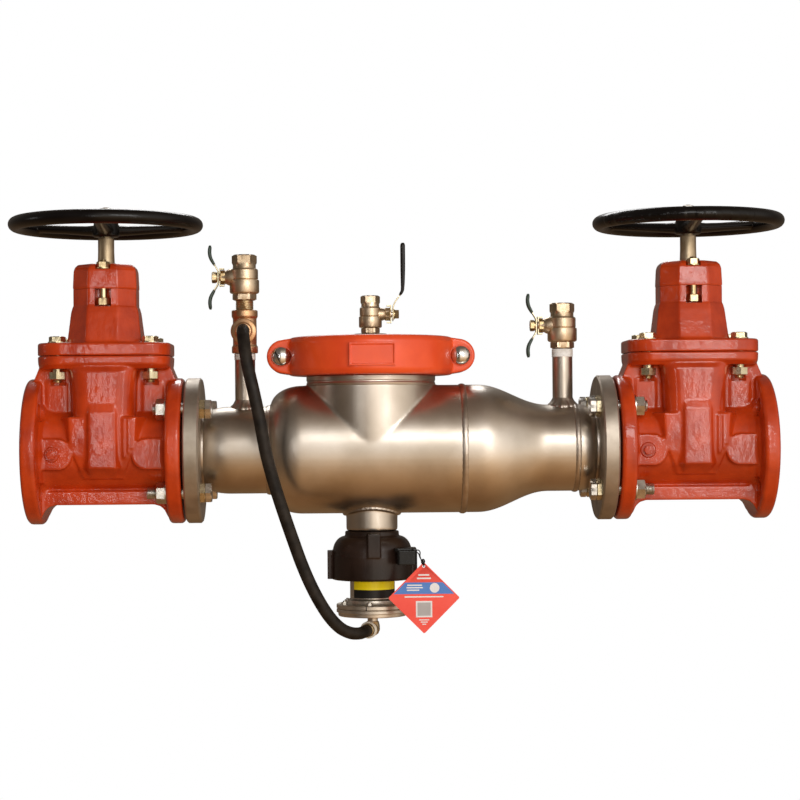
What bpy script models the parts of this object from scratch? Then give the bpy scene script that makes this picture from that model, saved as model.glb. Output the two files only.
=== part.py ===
"""A 3 inch reduced-pressure backflow preventer with a gate valve at each end.

Origin: the middle of the inlet flange's face, on the pipe's axis. +X is the way the water
flows, +Z is up and -Y is the front. Sizes are written in millimetres, and MM turns them into
metres where a mesh is made.
"""

import math

import bmesh
import bpy
from mathutils import Matrix, Vector

MM = 0.001
GAP = 0.3  # between pieces that touch
ROUND = 32  # sides of the large turned pieces

# Pipeline
VALVE_LENGTH = 203.2
HOUSING_LENGTH = 558.8
GASKET = 3.0
FLANGE_R = 95.25
FLANGE_THICK = 20.0
BORE_R = 38.1
BOLT_CIRCLE_R = 76.2
BOLT_HOLE_R = 9.5
BOLT_R = 7.9
INLET_X = VALVE_LENGTH / 2
HOUSING_X = VALVE_LENGTH + GASKET
HOUSING_END_X = HOUSING_X + HOUSING_LENGTH
OUTLET_X = HOUSING_END_X + GASKET + VALVE_LENGTH / 2

# Gate valve, heights above the pipe's axis
BARREL_R = 60.0
CHAMBER = (86.0, 124.0)
JOINT_PLATE = (177.0, 120.0)
PLATE_BOTTOM_Z = 107.0
PLATE_Z = 124.0
BONNET_PLATE_TOP_Z = 141.0
BONNET_SHOULDER_Z = 187.0
BONNET_TOP_Z = 211.0
GLAND_TOP_Z = 244.0
HUB_BOTTOM_Z = 280.0
HUB_TOP_Z = 305.0
WHEEL_Z = 298.0
WHEEL_R = 127.0
WHEEL_TUBE_R = 8.25
WHEEL_SPOKES = 3
WHEEL_TURN = math.radians(-90)  # one spoke points to the front
STEM_R = 11.0
WEDGE_R = 44.0
WEDGE_HALF = 19.0
WEDGE_LIFT = 86.0
CAVITY_HALF = 26.0
CAVITY_R = 50.0
PLATE_BOLTS = (60.0, 35.0)

# Housing
PIPE_R = 57.15
NECK_R = 45.5
BARREL_6_R = 84.15
WALL = 3.6
BRANCH_R = 83.6  # a little under the barrel's, so that their sides never lie in one plane
BRANCH_X = 448.0
BRANCH_TOP_Z = 120.0
GROOVE_DEPTH = 2.1
GROOVES_Z = ((97.0, 105.5), (138.5, 147.0))
CAP_Z = (124.0, 152.0)
RISER_R = 13.3
LEFT_RISER_X = 282.6
RIGHT_RISER_X = 701.4
LEFT_RISER_TOP_Z = 127.1
RIGHT_RISER_TOP_Z = 130.7
DRAIN_NECK_R = 33.8
DRAIN_NECK_Z = -107.0

# Clamp round the cap
CLAMP_R = 110.0
CLAMP_Z = (96.6, 147.4)
CLAMP_BOLT_X = 117.0
CLAMP_MID_Z = 122.0

# Relief valve under the housing
BELL_BOTTOM_Z = -171.0
RELIEF_R = 29.5
RELIEF_FLANGE_R = 47.5
RELIEF_JOINT_Z = -209.0
RELIEF_BOTTOM_Z = -219.0
ELBOW_Z = -236.0
ELBOW_REACH = 23.0
ELBOW_WAY = Vector((-0.36, -0.93, -0.05)).normalized()

# Tag
TAG_SIDE = 64.5
TAG_HOLE = (513.3, -150.6)
TAG_Y = (-65.2, -64.4)

# Hose, from the tee's front port to the elbow under the relief valve
HOSE_R = 8.0
HOSE_STEP = 32.0
HOSE_ROUTE = (
    (282.6, -38.4, 156.0),
    (282.7, -51.0, 155.8),
    (283.5, -68.0, 151.5),
    (285.2, -84.0, 140.5),
    (287.6, -96.0, 124.5),
    (291.8, -103.0, 103.0),
    (298.0, -105.5, 76.0),
    (305.0, -105.5, 42.0),
    (312.0, -103.0, 2.0),
    (319.5, -99.0, -29.0),
    (328.0, -95.0, -58.5),
    (337.0, -91.0, -87.0),
    (346.5, -86.5, -115.5),
    (356.0, -81.5, -143.0),
    (367.0, -77.0, -170.0),
    (379.5, -72.5, -195.0),
    (392.5, -67.0, -215.5),
    (405.5, -60.5, -229.5),
    (418.0, -52.5, -236.5),
    (428.5, -43.0, -238.5),
    (435.3, -32.9, -237.9),
    (439.6, -21.8, -237.2),
)

UP, FRONT, FLOW = Vector((0, 0, 1)), Vector((0, -1, 0)), Vector((1, 0, 0))
DOWN = -UP


def look(name, colour, roughness, metallic):
    made = bpy.data.materials.new(name)
    made.use_nodes = True
    shader = made.node_tree.nodes["Principled BSDF"]
    shader.inputs["Base Color"].default_value = (*colour, 1)
    shader.inputs["Roughness"].default_value = roughness
    shader.inputs["Metallic"].default_value = metallic
    made.diffuse_color = (*colour, 1)
    return made


def frame_along(way):
    """A turn that carries +Z to way; local x and y become (x, z) for FRONT and (y, z) for FLOW."""
    if way == FRONT:
        return Matrix(((1, 0, 0), (0, 0, -1), (0, 1, 0)))
    if way == FLOW:
        return Matrix(((0, 0, 1), (1, 0, 0), (0, 1, 0)))
    return UP.rotation_difference(way).to_matrix()


def make(name, mesh_bm, finish, at, way, origin):
    """An object from a shape in millimetres, turned along way, placed at a point."""
    bmesh.ops.recalc_face_normals(mesh_bm, faces=mesh_bm.faces)
    placing = Matrix.Translation(Vector(at) - Vector(origin)) @ frame_along(way).to_4x4()
    mesh_bm.transform(Matrix.Scale(MM, 4) @ placing)
    mesh = bpy.data.meshes.new(name)
    mesh_bm.to_mesh(mesh)
    mesh_bm.free()
    made = bpy.data.objects.new(name, mesh)
    bpy.context.scene.collection.objects.link(made)
    made.location = Vector(origin) * MM
    mesh.shade_smooth()
    mesh.set_sharp_from_angle(angle=math.radians(35))
    if finish:
        mesh.materials.append(finish)
    return made


def hexagon_radius(across_flats, angle):
    sixth = math.pi / 3
    return across_flats / 2 / math.cos(angle % sixth - sixth / 2)


def turned(name, profile, finish=None, at=(0, 0, 0), way=UP, steps=24, origin=(0, 0, 0)):
    """A solid turned from (radius, height) points. (width, height, "hex") is a hexagon that wide.

    It is solid where its first and last points lie on the axis, and a ring where they don't.
    """
    bm = bmesh.new()
    rings = []
    for radius, height, *shape in profile:
        if radius == 0:
            rings.append([bm.verts.new((0, 0, height))])
            continue
        ring = []
        for step in range(steps):
            angle = math.tau * step / steps
            reach = hexagon_radius(radius, angle) if shape else radius
            ring.append(bm.verts.new((reach * math.cos(angle), reach * math.sin(angle), height)))
        rings.append(ring)
    pairs = list(zip(rings, rings[1:]))
    if len(rings[0]) > 1:
        pairs.append((rings[-1], rings[0]))
    for one, other in pairs:
        for step in range(steps):
            after = (step + 1) % steps
            corners = [one[step % len(one)], one[after % len(one)]]
            corners += [other[after % len(other)], other[step % len(other)]]
            corners = list(dict.fromkeys(corners))
            if len(corners) > 2:
                bm.faces.new(corners)
    return make(name, bm, finish, at, way, origin)


def extruded(name, outline, low, high, finish=None, at=(0, 0, 0), way=UP, taper=1.0, origin=(0, 0, 0)):
    """An outline's solid between two heights, its far end scaled by taper."""
    bm = bmesh.new()
    ends = [
        [bm.verts.new((x * scale, y * scale, height)) for x, y in outline]
        for height, scale in ((low, 1.0), (high, taper))
    ]
    bm.faces.new(ends[0])
    bm.faces.new(ends[1])
    for step in range(len(outline)):
        after = (step + 1) % len(outline)
        bm.faces.new((ends[0][step], ends[0][after], ends[1][after], ends[1][step]))
    return make(name, bm, finish, at, way, origin)


def block(name, low, high, finish=None, origin=(0, 0, 0)):
    outline = ((low[0], low[1]), (high[0], low[1]), (high[0], high[1]), (low[0], high[1]))
    return extruded(name, outline, low[2], high[2], finish, origin=origin)


def rod(name, start, end, radius, finish=None, steps=16, origin=(0, 0, 0)):
    length = (Vector(end) - Vector(start)).length
    way = (Vector(end) - Vector(start)).normalized()
    profile = ((0, 0), (radius, 0), (radius, length), (0, length))
    return turned(name, profile, finish, start, way, steps, origin)


def rounded(width, depth, radius, steps=2):
    """A rectangle's outline with round corners."""
    points = []
    for turn, (sx, sy) in enumerate(((1, 1), (-1, 1), (-1, -1), (1, -1))):
        for step in range(steps + 1):
            angle = math.pi / 2 * (turn + step / steps)
            x = sx * (width / 2 - radius) + radius * math.cos(angle)
            points.append((x, sy * (depth / 2 - radius) + radius * math.sin(angle)))
    return points


def shape_with(base, operation, others, solver="EXACT"):
    for other in others:
        step = base.modifiers.new(other.name, "BOOLEAN")
        step.operation = operation
        step.solver = solver
        step.object = other
        other.hide_render = True
        other.display_type = "WIRE"
    return base


def join(base, *others):
    return shape_with(base, "UNION", others)


def cut(base, *others):
    return shape_with(base, "DIFFERENCE", others)


def arc(start, end, steps, upright_first):
    """Points of a quarter ellipse between two (radius, height) points, without its start."""
    points = []
    for step in range(1, steps + 1):
        angle = math.pi / 2 * step / steps
        along_r, along_h = math.sin(angle), 1 - math.cos(angle)
        if not upright_first:
            along_r, along_h = along_h, along_r
        radius = start[0] + (end[0] - start[0]) * along_r
        points.append((radius, start[1] + (end[1] - start[1]) * along_h))
    return points


def wave(start, end, steps):
    """Points of a smooth S between two (radius, height) points, without its start."""
    points = []
    for step in range(1, steps + 1):
        along = step / steps
        rise = (1 - math.cos(math.pi * along)) / 2
        radius = start[0] + (end[0] - start[0]) * rise
        points.append((radius, start[1] + (end[1] - start[1]) * along))
    return points


def bolt_holes(name, low_x, high_x):
    """Cutters for a flange's four holes."""
    spread = BOLT_CIRCLE_R / math.sqrt(2)
    return [
        rod(f"{name}_{turn}", (low_x, y, z), (high_x, y, z), BOLT_HOLE_R, steps=8)
        for turn, (y, z) in enumerate(flange_corners(spread))
    ]


def flange_corners(spread):
    return ((-spread, spread), (spread, spread), (spread, -spread), (-spread, -spread))


def bolt(name, at, way, grip, finish, wide=23.8, head=10.0, radius=BOLT_R, nut=13.0, spare=8.0):
    """A hexagon bolt with its nut, from under the head at 0 to past the nut."""
    profile = (
        (0, -head - GAP),
        (wide, -head - GAP, "hex"),
        (wide, -GAP, "hex"),
        (radius, -GAP),
        (radius, grip + GAP),
        (wide, grip + GAP, "hex"),
        (wide, grip + nut + GAP, "hex"),
        (radius, grip + nut + GAP),
        (radius, grip + nut + spare),
        (0, grip + nut + spare),
    )
    return turned(name, profile, finish, at, way, steps=6)


def gate_valve(side, centre_x, bolted_side):
    """One gate valve, drawn open. bolted_side is +1 where its flange at +X is bolted up."""
    half = VALVE_LENGTH / 2
    inner = half - FLANGE_THICK
    shell_profile = (
        (0, -half),
        (FLANGE_R, -half),
        (FLANGE_R, -inner),
        (BARREL_R + 2, -inner),
        (BARREL_R, -inner + 6),
        (BARREL_R, inner - 6),
        (BARREL_R + 2, inner),
        (FLANGE_R, inner),
        (FLANGE_R, half),
        (0, half),
    )
    at = (centre_x, 0, 0)
    body = turned(f"{side}_valve_body", shell_profile, RED, at, FLOW, steps=ROUND)
    web = ((-88, 0), (-88, 82), (-66, 110), (66, 110), (88, 82), (88, 0))
    plate = rounded(*JOINT_PLATE, 34)
    join(
        body,
        extruded(f"{side}_chamber", rounded(*CHAMBER, 22), -69, 110, at=at),
        extruded(f"{side}_web", web, -21, 21, at=at, way=FRONT),
        block(f"{side}_foot", (centre_x - 68, -38, -69), (centre_x + 68, 38, -30)),
        block(f"{side}_rib", (centre_x - 27, -65, -28), (centre_x + 27, 65, 43)),
        extruded(f"{side}_plate", plate, PLATE_BOTTOM_Z, PLATE_Z - GAP, at=at),
    )
    cavity = [(CAVITY_R * math.cos(a), CAVITY_R * math.sin(a)) for a in half_turn(8)]
    cavity += [(CAVITY_R, PLATE_Z + 6), (-CAVITY_R, PLATE_Z + 6)]
    plate_holes = [
        rod(f"{side}_plate_hole_{n}", (x, y, 90), (x, y, 160), 6.8, steps=8)
        for n, (x, y) in enumerate(plate_corners(centre_x))
    ]
    bore = rod(f"{side}_bore", (centre_x - half - 5, 0, 0), (centre_x + half + 5, 0, 0), BORE_R)
    holes = bolt_holes(f"{side}_near_hole", centre_x - half - 5, centre_x - inner + 15)
    holes += bolt_holes(f"{side}_far_hole", centre_x + inner - 15, centre_x + half + 5)
    seat_pocket = extruded(f"{side}_cavity", cavity, -CAVITY_HALF, CAVITY_HALF, at=at, way=FLOW)
    cut(body, bore, seat_pocket, *holes, *plate_holes)

    bonnet = extruded(f"{side}_bonnet", plate, PLATE_Z, BONNET_PLATE_TOP_Z, RED, at)
    dome = rounded(96, 112, 24)
    neck = rounded(83, 84, 16)
    join(
        bonnet,
        extruded(f"{side}_dome", dome, PLATE_Z + 10, BONNET_SHOULDER_Z, at=at, taper=0.86),
        extruded(f"{side}_neck", neck, BONNET_SHOULDER_Z - 8, BONNET_TOP_Z, at=at),
    )
    lift_room = (
        (0, PLATE_Z - 10),
        (21, PLATE_Z - 10),
        (21, 160),
        (STEM_R + 0.4, 166),
        (STEM_R + 0.4, BONNET_SHOULDER_Z - 1),
        (16.2, BONNET_SHOULDER_Z - 1),
        (16.2, BONNET_TOP_Z + 5),
        (0, BONNET_TOP_Z + 5),
    )
    wedge_room = rod(
        f"{side}_wedge_room",
        (centre_x - CAVITY_HALF, 0, WEDGE_LIFT),
        (centre_x + CAVITY_HALF, 0, WEDGE_LIFT),
        CAVITY_R,
    )
    front_slot = block(f"{side}_slot", (centre_x - 9, -60, 189), (centre_x + 9, -31, 230))
    back_slot = block(f"{side}_back_slot", (centre_x - 9, 31, 189), (centre_x + 9, 60, 230))
    stem_way = turned(f"{side}_stem_way", lift_room, at=at, steps=24)
    cut(bonnet, wedge_room, stem_way, front_slot, back_slot, *plate_holes)

    gland = extruded(
        f"{side}_gland", rounded(82.5, 84, 14), BONNET_TOP_Z + GAP, GLAND_TOP_Z, RED, at, taper=0.9
    )
    gland_hole = rod(
        f"{side}_gland_hole", (centre_x, 0, 190), (centre_x, 0, 260), STEM_R + 0.4
    )
    cut(gland, gland_hole, front_slot, back_slot)

    stem_profile = (
        (0, 48),
        (STEM_R, 48),
        (STEM_R, BONNET_SHOULDER_Z),
        (15.8, BONNET_SHOULDER_Z),
        (15.8, BONNET_SHOULDER_Z + 9),
        (STEM_R, BONNET_SHOULDER_Z + 9),
        (STEM_R, HUB_BOTTOM_Z - GAP),
        (7.0, HUB_BOTTOM_Z - GAP),
        (7.0, HUB_TOP_Z - 3),
        (4.5, HUB_TOP_Z - 3),
        (4.5, 320),
        (0, 320),
    )
    axis_origin = (centre_x, 0, 0)
    turned(f"{side}_stem", stem_profile, BRASS, at, UP, 16, axis_origin)

    wedge = rod(
        f"{side}_wedge",
        (centre_x - WEDGE_HALF, 0, WEDGE_LIFT),
        (centre_x + WEDGE_HALF, 0, WEDGE_LIFT),
        WEDGE_R,
        BLACK_RUBBER,
        24,
        (centre_x, 0, WEDGE_LIFT),
    )
    wedge_nut_top = WEDGE_LIFT + WEDGE_R + 20
    join(wedge, rod(f"{side}_wedge_nut", (centre_x, 0, 100), (centre_x, 0, wedge_nut_top), 17))
    cut(wedge, rod(f"{side}_wedge_hole", (centre_x, 0, 30), (centre_x, 0, 160), STEM_R + 0.4))

    handwheel(side, centre_x)
    nut = ((14, HUB_TOP_Z + GAP, "hex"), (14, 317, "hex"), (4.8, 317), (4.8, HUB_TOP_Z + GAP))
    turned(f"{side}_wheel_nut", nut, ZINC, at, UP, 12, axis_origin)

    for n, (x, y) in enumerate(plate_corners(centre_x)):
        grip = BONNET_PLATE_TOP_Z - PLATE_BOTTOM_Z
        name = f"{side}_bonnet_bolt_{n + 1}"
        bolt(name, (x, y, BONNET_PLATE_TOP_Z), DOWN, grip, ZINC, 19, 8, 6.3, 11, 4)

    face_x = centre_x + bolted_side * inner
    spread = BOLT_CIRCLE_R / math.sqrt(2)
    flange_end_x = centre_x + bolted_side * (half + GASKET + FLANGE_THICK)
    for n, (y, z) in enumerate(flange_corners(spread)):
        grip = abs(flange_end_x - face_x)
        bolt(f"{side}_flange_bolt_{n + 1}", (flange_end_x, y, z), FLOW * -bolted_side, grip, ZINC)


def half_turn(steps):
    return [math.pi + math.pi * step / steps for step in range(steps + 1)]


def plate_corners(centre_x):
    x, y = PLATE_BOLTS
    return ((centre_x - x, -y), (centre_x + x, -y), (centre_x + x, y), (centre_x - x, y))


def handwheel(side, centre_x):
    """A round rim on spokes that rise to it from the hub."""
    ring_r = WHEEL_R - WHEEL_TUBE_R
    rim_profile = []
    for step in range(6):
        angle = -math.tau * step / 6
        radius = ring_r + WHEEL_TUBE_R * math.cos(angle)
        rim_profile.append((radius, WHEEL_Z + WHEEL_TUBE_R * math.sin(angle)))
    origin = (centre_x, 0, WHEEL_Z)
    wheel = turned(
        f"{side}_handwheel", rim_profile, BLACK_PAINT, (centre_x, 0, 0), UP, ROUND, origin
    )
    spokes = []
    for n in range(WHEEL_SPOKES):
        angle = math.tau * n / WHEEL_SPOKES + WHEEL_TURN
        way = Vector((math.cos(angle), math.sin(angle), 0))
        start = Vector((centre_x, 0, HUB_BOTTOM_Z + 11)) + way * 12
        end = Vector((centre_x, 0, WHEEL_Z)) + way * ring_r
        spokes.append(rod(f"{side}_spoke_{n}", start, end, 6.5, steps=6))
    hub = rod(f"{side}_hub", (centre_x, 0, HUB_BOTTOM_Z), (centre_x, 0, HUB_TOP_Z), 16.5)
    join(wheel, hub, *spokes)
    cut(wheel, rod(f"{side}_hub_hole", (centre_x, 0, 270), (centre_x, 0, 310), 7.3, steps=16))


def housing_outline():
    """(radius, x) points along the outside, from the inlet flange to the outlet flange."""
    inlet, outlet = HOUSING_X, HOUSING_END_X
    points = [(0, inlet), (FLANGE_R, inlet), (FLANGE_R, inlet + FLANGE_THICK)]
    points += [(NECK_R, inlet + FLANGE_THICK), (NECK_R, 231)]
    points += arc((NECK_R, 231), (PIPE_R, 263), 3, True)
    points += [(PIPE_R, 316)] + arc((PIPE_R, 316), (BARREL_6_R, 357), 5, True)
    points += [(BARREL_6_R, 588)] + wave((BARREL_6_R, 588), (PIPE_R, 680), 5)
    points += [(PIPE_R, 718)] + arc((PIPE_R, 718), (NECK_R, 741), 3, False)
    points += [(NECK_R, outlet - FLANGE_THICK), (FLANGE_R, outlet - FLANGE_THICK)]
    return points + [(FLANGE_R, outlet), (0, outlet)]


def housing_inside():
    """The hollow, one wall thickness in, run out past both faces."""
    neck, pipe, barrel = (radius - WALL for radius in (NECK_R, PIPE_R, BARREL_6_R))
    start, end = HOUSING_X - 5, HOUSING_END_X + 5
    points = [(0, start), (neck, start), (neck, 233), (pipe, 265), (pipe, 320), (72, 332)]
    points += [(barrel, 358), (barrel, 588)] + wave((barrel, 588), (pipe, 680), 4)
    return points + [(pipe, 716), (neck, 740), (neck, end), (0, end)]


def housing():
    body = turned("housing", housing_outline(), STEEL, way=FLOW, steps=ROUND)
    (low, high), _ = GROOVES_Z
    inner_r = BRANCH_R - GROOVE_DEPTH
    branch = [(0, 1), (BRANCH_R, 1), (BRANCH_R, low), (inner_r, low), (inner_r, high)]
    branch += [(BRANCH_R, high), (BRANCH_R, BRANCH_TOP_Z), (0, BRANCH_TOP_Z)]
    left, right = (LEFT_RISER_X, 0, 40), (RIGHT_RISER_X, 0, 40)
    join(
        body,
        turned("branch", branch, at=(BRANCH_X, 0, 0), steps=ROUND),
        rod("drain_neck", (BRANCH_X, 0, DRAIN_NECK_Z), (BRANCH_X, 0, -60), DRAIN_NECK_R, steps=24),
        rod("left_riser", left, (LEFT_RISER_X, 0, LEFT_RISER_TOP_Z), RISER_R),
        rod("right_riser", right, (RIGHT_RISER_X, 0, RIGHT_RISER_TOP_Z), RISER_R),
    )
    branch_bore = BRANCH_R - WALL - 0.7
    hollows = [
        turned("inside", housing_inside(), way=FLOW, steps=ROUND),
        rod("branch_bore", (BRANCH_X, 0, 20), (BRANCH_X, 0, 140), branch_bore, steps=ROUND),
        rod("drain_bore", (BRANCH_X, 0, -120), (BRANCH_X, 0, -20), DRAIN_NECK_R - WALL),
        rod("left_bore", (LEFT_RISER_X, 0, 20), (LEFT_RISER_X, 0, 140), 10.4, steps=16),
        rod("right_bore", (RIGHT_RISER_X, 0, 20), (RIGHT_RISER_X, 0, 140), 10.4, steps=16),
    ]
    hollows += bolt_holes("inlet_hole", HOUSING_X - 5, HOUSING_X + FLANGE_THICK + 5)
    hollows += bolt_holes("outlet_hole", HOUSING_END_X - FLANGE_THICK - 5, HOUSING_END_X + 5)
    shape_with(body, "DIFFERENCE", hollows, solver="MANIFOLD")


def capped_branch():
    """The cap, its seal, and the two clamp halves with their bolts."""
    _, (low, high) = GROOVES_Z
    bottom, top = CAP_Z
    outer, inner = BARREL_6_R, BARREL_6_R - GROOVE_DEPTH
    at = (BRANCH_X, 0, 0)
    cap_profile = [(80, bottom), (outer, bottom), (outer, low), (inner, low), (inner, high)]
    cap_profile += [(outer, high), (outer, top - 3), (outer - 3, top), (10.4, top)]
    cap_profile += [(10.4, top - 8), (76, top - 8), (80, top - 12)]
    turned("cap", cap_profile, STEEL, at, steps=ROUND)

    seal = ((BARREL_6_R + GAP, 106), (91.8, 106), (91.8, 138), (BARREL_6_R + GAP, 138))
    turned("clamp_seal", seal, BLACK_RUBBER, at, steps=ROUND)

    low_z, high_z = CLAMP_Z
    (key_a, key_b), (key_c, key_d) = [(a + GAP, b - GAP) for a, b in GROOVES_Z]
    lip, key, room = outer + GAP, inner + GAP, 92.2
    band = [(lip, high_z), (104, high_z), (CLAMP_R, high_z - 6), (CLAMP_R, low_z + 6)]
    band += [(104, low_z), (lip, low_z), (lip, key_a), (key, key_a), (key, key_b), (room, key_b)]
    band += [(room, key_c), (key, key_c), (key, key_d), (lip, key_d)]
    pad = [(x, z + CLAMP_MID_Z) for x, z in rounded(82, 42, 20, 4)]
    for name, side in (("clamp_front", -1), ("clamp_rear", 1)):
        half = turned(name, band, ORANGE, at, steps=ROUND)
        near, far = sorted((-side * 1.5, -side * 28))
        pads = [
            extruded(f"{name}_pad_{n}", pad, near, far, at=(BRANCH_X + s * 96, 0, 0), way=FRONT)
            for n, s in enumerate((-1, 1))
        ]
        holes = [
            rod(f"{name}_hole_{n}", (x, -60, CLAMP_MID_Z), (x, 60, CLAMP_MID_Z), 6.8, steps=12)
            for n, x in enumerate((BRANCH_X - CLAMP_BOLT_X, BRANCH_X + CLAMP_BOLT_X))
        ]
        holes += [
            rod(f"{name}_spot_{n}", (x, side * 28, CLAMP_MID_Z), (x, side * 60, CLAMP_MID_Z), 14.5)
            for n, x in enumerate((BRANCH_X - CLAMP_BOLT_X, BRANCH_X + CLAMP_BOLT_X))
        ]
        throat = rod(f"{name}_throat", (BRANCH_X, 0, 105), (BRANCH_X, 0, 139), 92.2, steps=ROUND)
        through = rod(f"{name}_through", (BRANCH_X, 0, 80), (BRANCH_X, 0, 160), lip, steps=ROUND)
        away_y = sorted((-side * 200, side * 1.0))
        away = block(
            f"{name}_away",
            (BRANCH_X - 200, away_y[0], 60),
            (BRANCH_X + 200, away_y[1], 180),
        )
        if side < 0:
            pads.append(block("clamp_plate", (419, -112, 107.5), (477, -100, 136.5)))
        shape_with(join(half, *pads), "DIFFERENCE", [away, *holes], solver="MANIFOLD")
        for pad_block in pads[:2]:
            cut(pad_block, throat, through)

    for name, x in (
        ("clamp_bolt_left", BRANCH_X - CLAMP_BOLT_X),
        ("clamp_bolt_right", BRANCH_X + CLAMP_BOLT_X),
    ):
        head = arc((13, 28 + GAP), (0, 38), 4, False)
        profile = [(0, -50), (6.3, -50), (6.3, -39), (20, -39, "hex"), (20, -28 - GAP, "hex")]
        profile += [(6.3, -28 - GAP), (6.3, 28 + GAP), (13, 28 + GAP)] + head
        turned(name, profile, CHROME, (x, 0, CLAMP_MID_Z), FRONT, 12)


def check_valve(name, seat_x, ring_r, hole_r, disc_r, pivot_z):
    """A seat ring with two ears and, hanging between them, a disc that opens downstream."""
    seat_thick, disc_thick = 10.0, 6.0
    face_x = seat_x + seat_thick
    pivot_x = face_x + 6
    seat = turned(
        f"{name}_seat",
        ((ring_r, 0), (ring_r, seat_thick), (hole_r, seat_thick), (hole_r, 0)),
        BRONZE,
        (seat_x, 0, 0),
        FLOW,
    )
    ears = [
        block(f"{name}_ear_{n}", (face_x - 2, y, pivot_z - 4.5), (pivot_x + 5, y + 5, pivot_z + 5))
        for n, y in enumerate((-14, 9))
    ]
    pin_hole = rod(
        f"{name}_pin_hole", (pivot_x, -20, pivot_z), (pivot_x, 20, pivot_z), 2.8, steps=12
    )
    cut(join(seat, *ears), pin_hole)
    origin = (pivot_x, 0, pivot_z)
    disc = rod(
        f"{name}_disc",
        (face_x + GAP, 0, 0),
        (face_x + disc_thick, 0, 0),
        disc_r,
        BLACK_RUBBER,
        20,
        origin,
    )
    join(
        disc,
        rod(f"{name}_pin", (pivot_x, -13.5, pivot_z), (pivot_x, 13.5, pivot_z), 2.4, steps=12),
        rod(f"{name}_knuckle", (pivot_x, -8, pivot_z), (pivot_x, 8, pivot_z), 4.5, steps=12),
        block(f"{name}_arm", (face_x + 3, -7, -10), (face_x + 10, 7, pivot_z)),
    )


def ball_valve(name, x, bottom_z, scale, way, lever):
    """A test cock on a riser. way is the side that its handle is on."""
    body_r = 19.5 * scale
    top_r = 17.7 * scale
    hex_low, hex_high = 31.4 * scale, 32.6 * scale
    height = 60.0 if not lever else 50.0
    stem_z = bottom_z + (30.5 if not lever else 25.5)
    bore = 9.0 * scale
    profile = (
        (hex_low, bottom_z, "hex"),
        (bore, bottom_z),
        (bore, stem_z - 13 * scale),
        (13 * scale, stem_z - 11 * scale),
        (13 * scale, stem_z + 11 * scale),
        (bore, stem_z + 13 * scale),
        (bore, bottom_z + height),
        (hex_high, bottom_z + height, "hex"),
        (hex_high, bottom_z + height * 0.86, "hex"),
        (top_r - 2, bottom_z + height * 0.83),
        (top_r, bottom_z + height * 0.76),
        (top_r, stem_z + 5),
        (body_r, stem_z + 5),
        (body_r, bottom_z + height * 0.18),
        (hex_low, bottom_z + height * 0.15, "hex"),
    )
    body = turned(f"{name}_body", profile, BRONZE, (x, 0, 0), steps=12)
    boss_end = 33 if not lever else 28
    boss_start = (x + way * body_r * 0.8, 0, stem_z)
    join(body, rod(f"{name}_boss", boss_start, (x + way * boss_end, 0, stem_z), 8.2))
    cut(body, rod(f"{name}_boss_hole", (x + way * 9, 0, stem_z), (x + way * 50, 0, stem_z), 4.3, steps=16))

    origin = (x, 0, stem_z)
    ball_r = 12.4 * scale
    ball_profile = [(0, -ball_r)]
    for step in range(1, 6):
        angle = math.pi * step / 6
        ball_profile.append((ball_r * math.sin(angle), -ball_r * math.cos(angle)))
    ball_profile.append((0, ball_r))
    ball = turned(f"{name}_ball", ball_profile, CHROME, origin, UP, 12, origin)
    spindle_end = (x + way * (boss_end + 9), 0, stem_z)
    join(ball, rod(f"{name}_spindle", (x + way * 9, 0, stem_z), spindle_end, 3.9, steps=12))
    cut(ball, rod(f"{name}_way", (x, 0, stem_z - 20), (x, 0, stem_z + 20), 7.5 * scale, steps=16))

    hub = boss_end + GAP
    if lever:
        line = ((hub, -9), (hub + 4, -9), (hub + 4, 12), (hub + 16, 26), (hub + 17, 94))
        line += ((hub + 11.5, 94), (hub + 11, 28), (hub, 15))
    else:
        line = ((hub, -15), (hub + 4, -42), (hub + 10, -42), (hub + 8, -22), (hub + 4.5, -13))
        line += ((hub + 4.5, 13), (hub + 8, 22), (hub + 10, 42), (hub + 4, 42), (hub, 15))
    outline = [(way * along, up) for along, up in line]
    handle = extruded(
        f"{name}_handle", outline, -7, 7, BLACK_PAINT if lever else GREEN, origin, FRONT, origin=origin
    )
    nut = ((0, 0), (10, 0, "hex"), (10, 7, "hex"), (0, 7))
    nut_at = (x + way * (hub + 3.5), 0, stem_z)
    join(handle, turned(f"{name}_handle_nut", nut, at=nut_at, way=FLOW * way, steps=12))
    hole_ends = [(x + way * reach, 0, stem_z) for reach in (20, 60)]
    cut(handle, rod(f"{name}_handle_hole", *hole_ends, 4.2, steps=12))


def bronze_tee():
    """The tee on the inlet riser, with the hose's port at its front, and the nipple above it."""
    low, high, port_z = 127.4, 184.0, 156.0
    x = LEFT_RISER_X
    profile = ((0, low), (17.2, low), (17.2, low + 7), (15.8, low + 8))
    profile += ((15.8, high - 8), (17.2, high - 7), (17.2, high), (0, high))
    tee = turned("tee", profile, COPPER, (x, 0, 0), steps=16)
    port = ((0, 0), (15.8, 0), (15.8, 24), (18, 25), (18, 34), (10.5, 34), (10.5, 38), (0, 38))
    join(tee, turned("tee_port", port, at=(x, 0, port_z), way=FRONT, steps=16))
    cut(
        tee,
        rod("tee_bore", (x, 0, low - 5), (x, 0, high + 5), 10.4, steps=16),
        rod("tee_port_bore", (x, 0, port_z), (x, -60, port_z), 6, steps=12),
    )
    nipple = ((11.8, high + GAP), (11.8, 196.7), (9, 196.7), (9, high + GAP))
    turned("nipple", nipple, BRASS, (x, 0, 0), steps=16)


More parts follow.
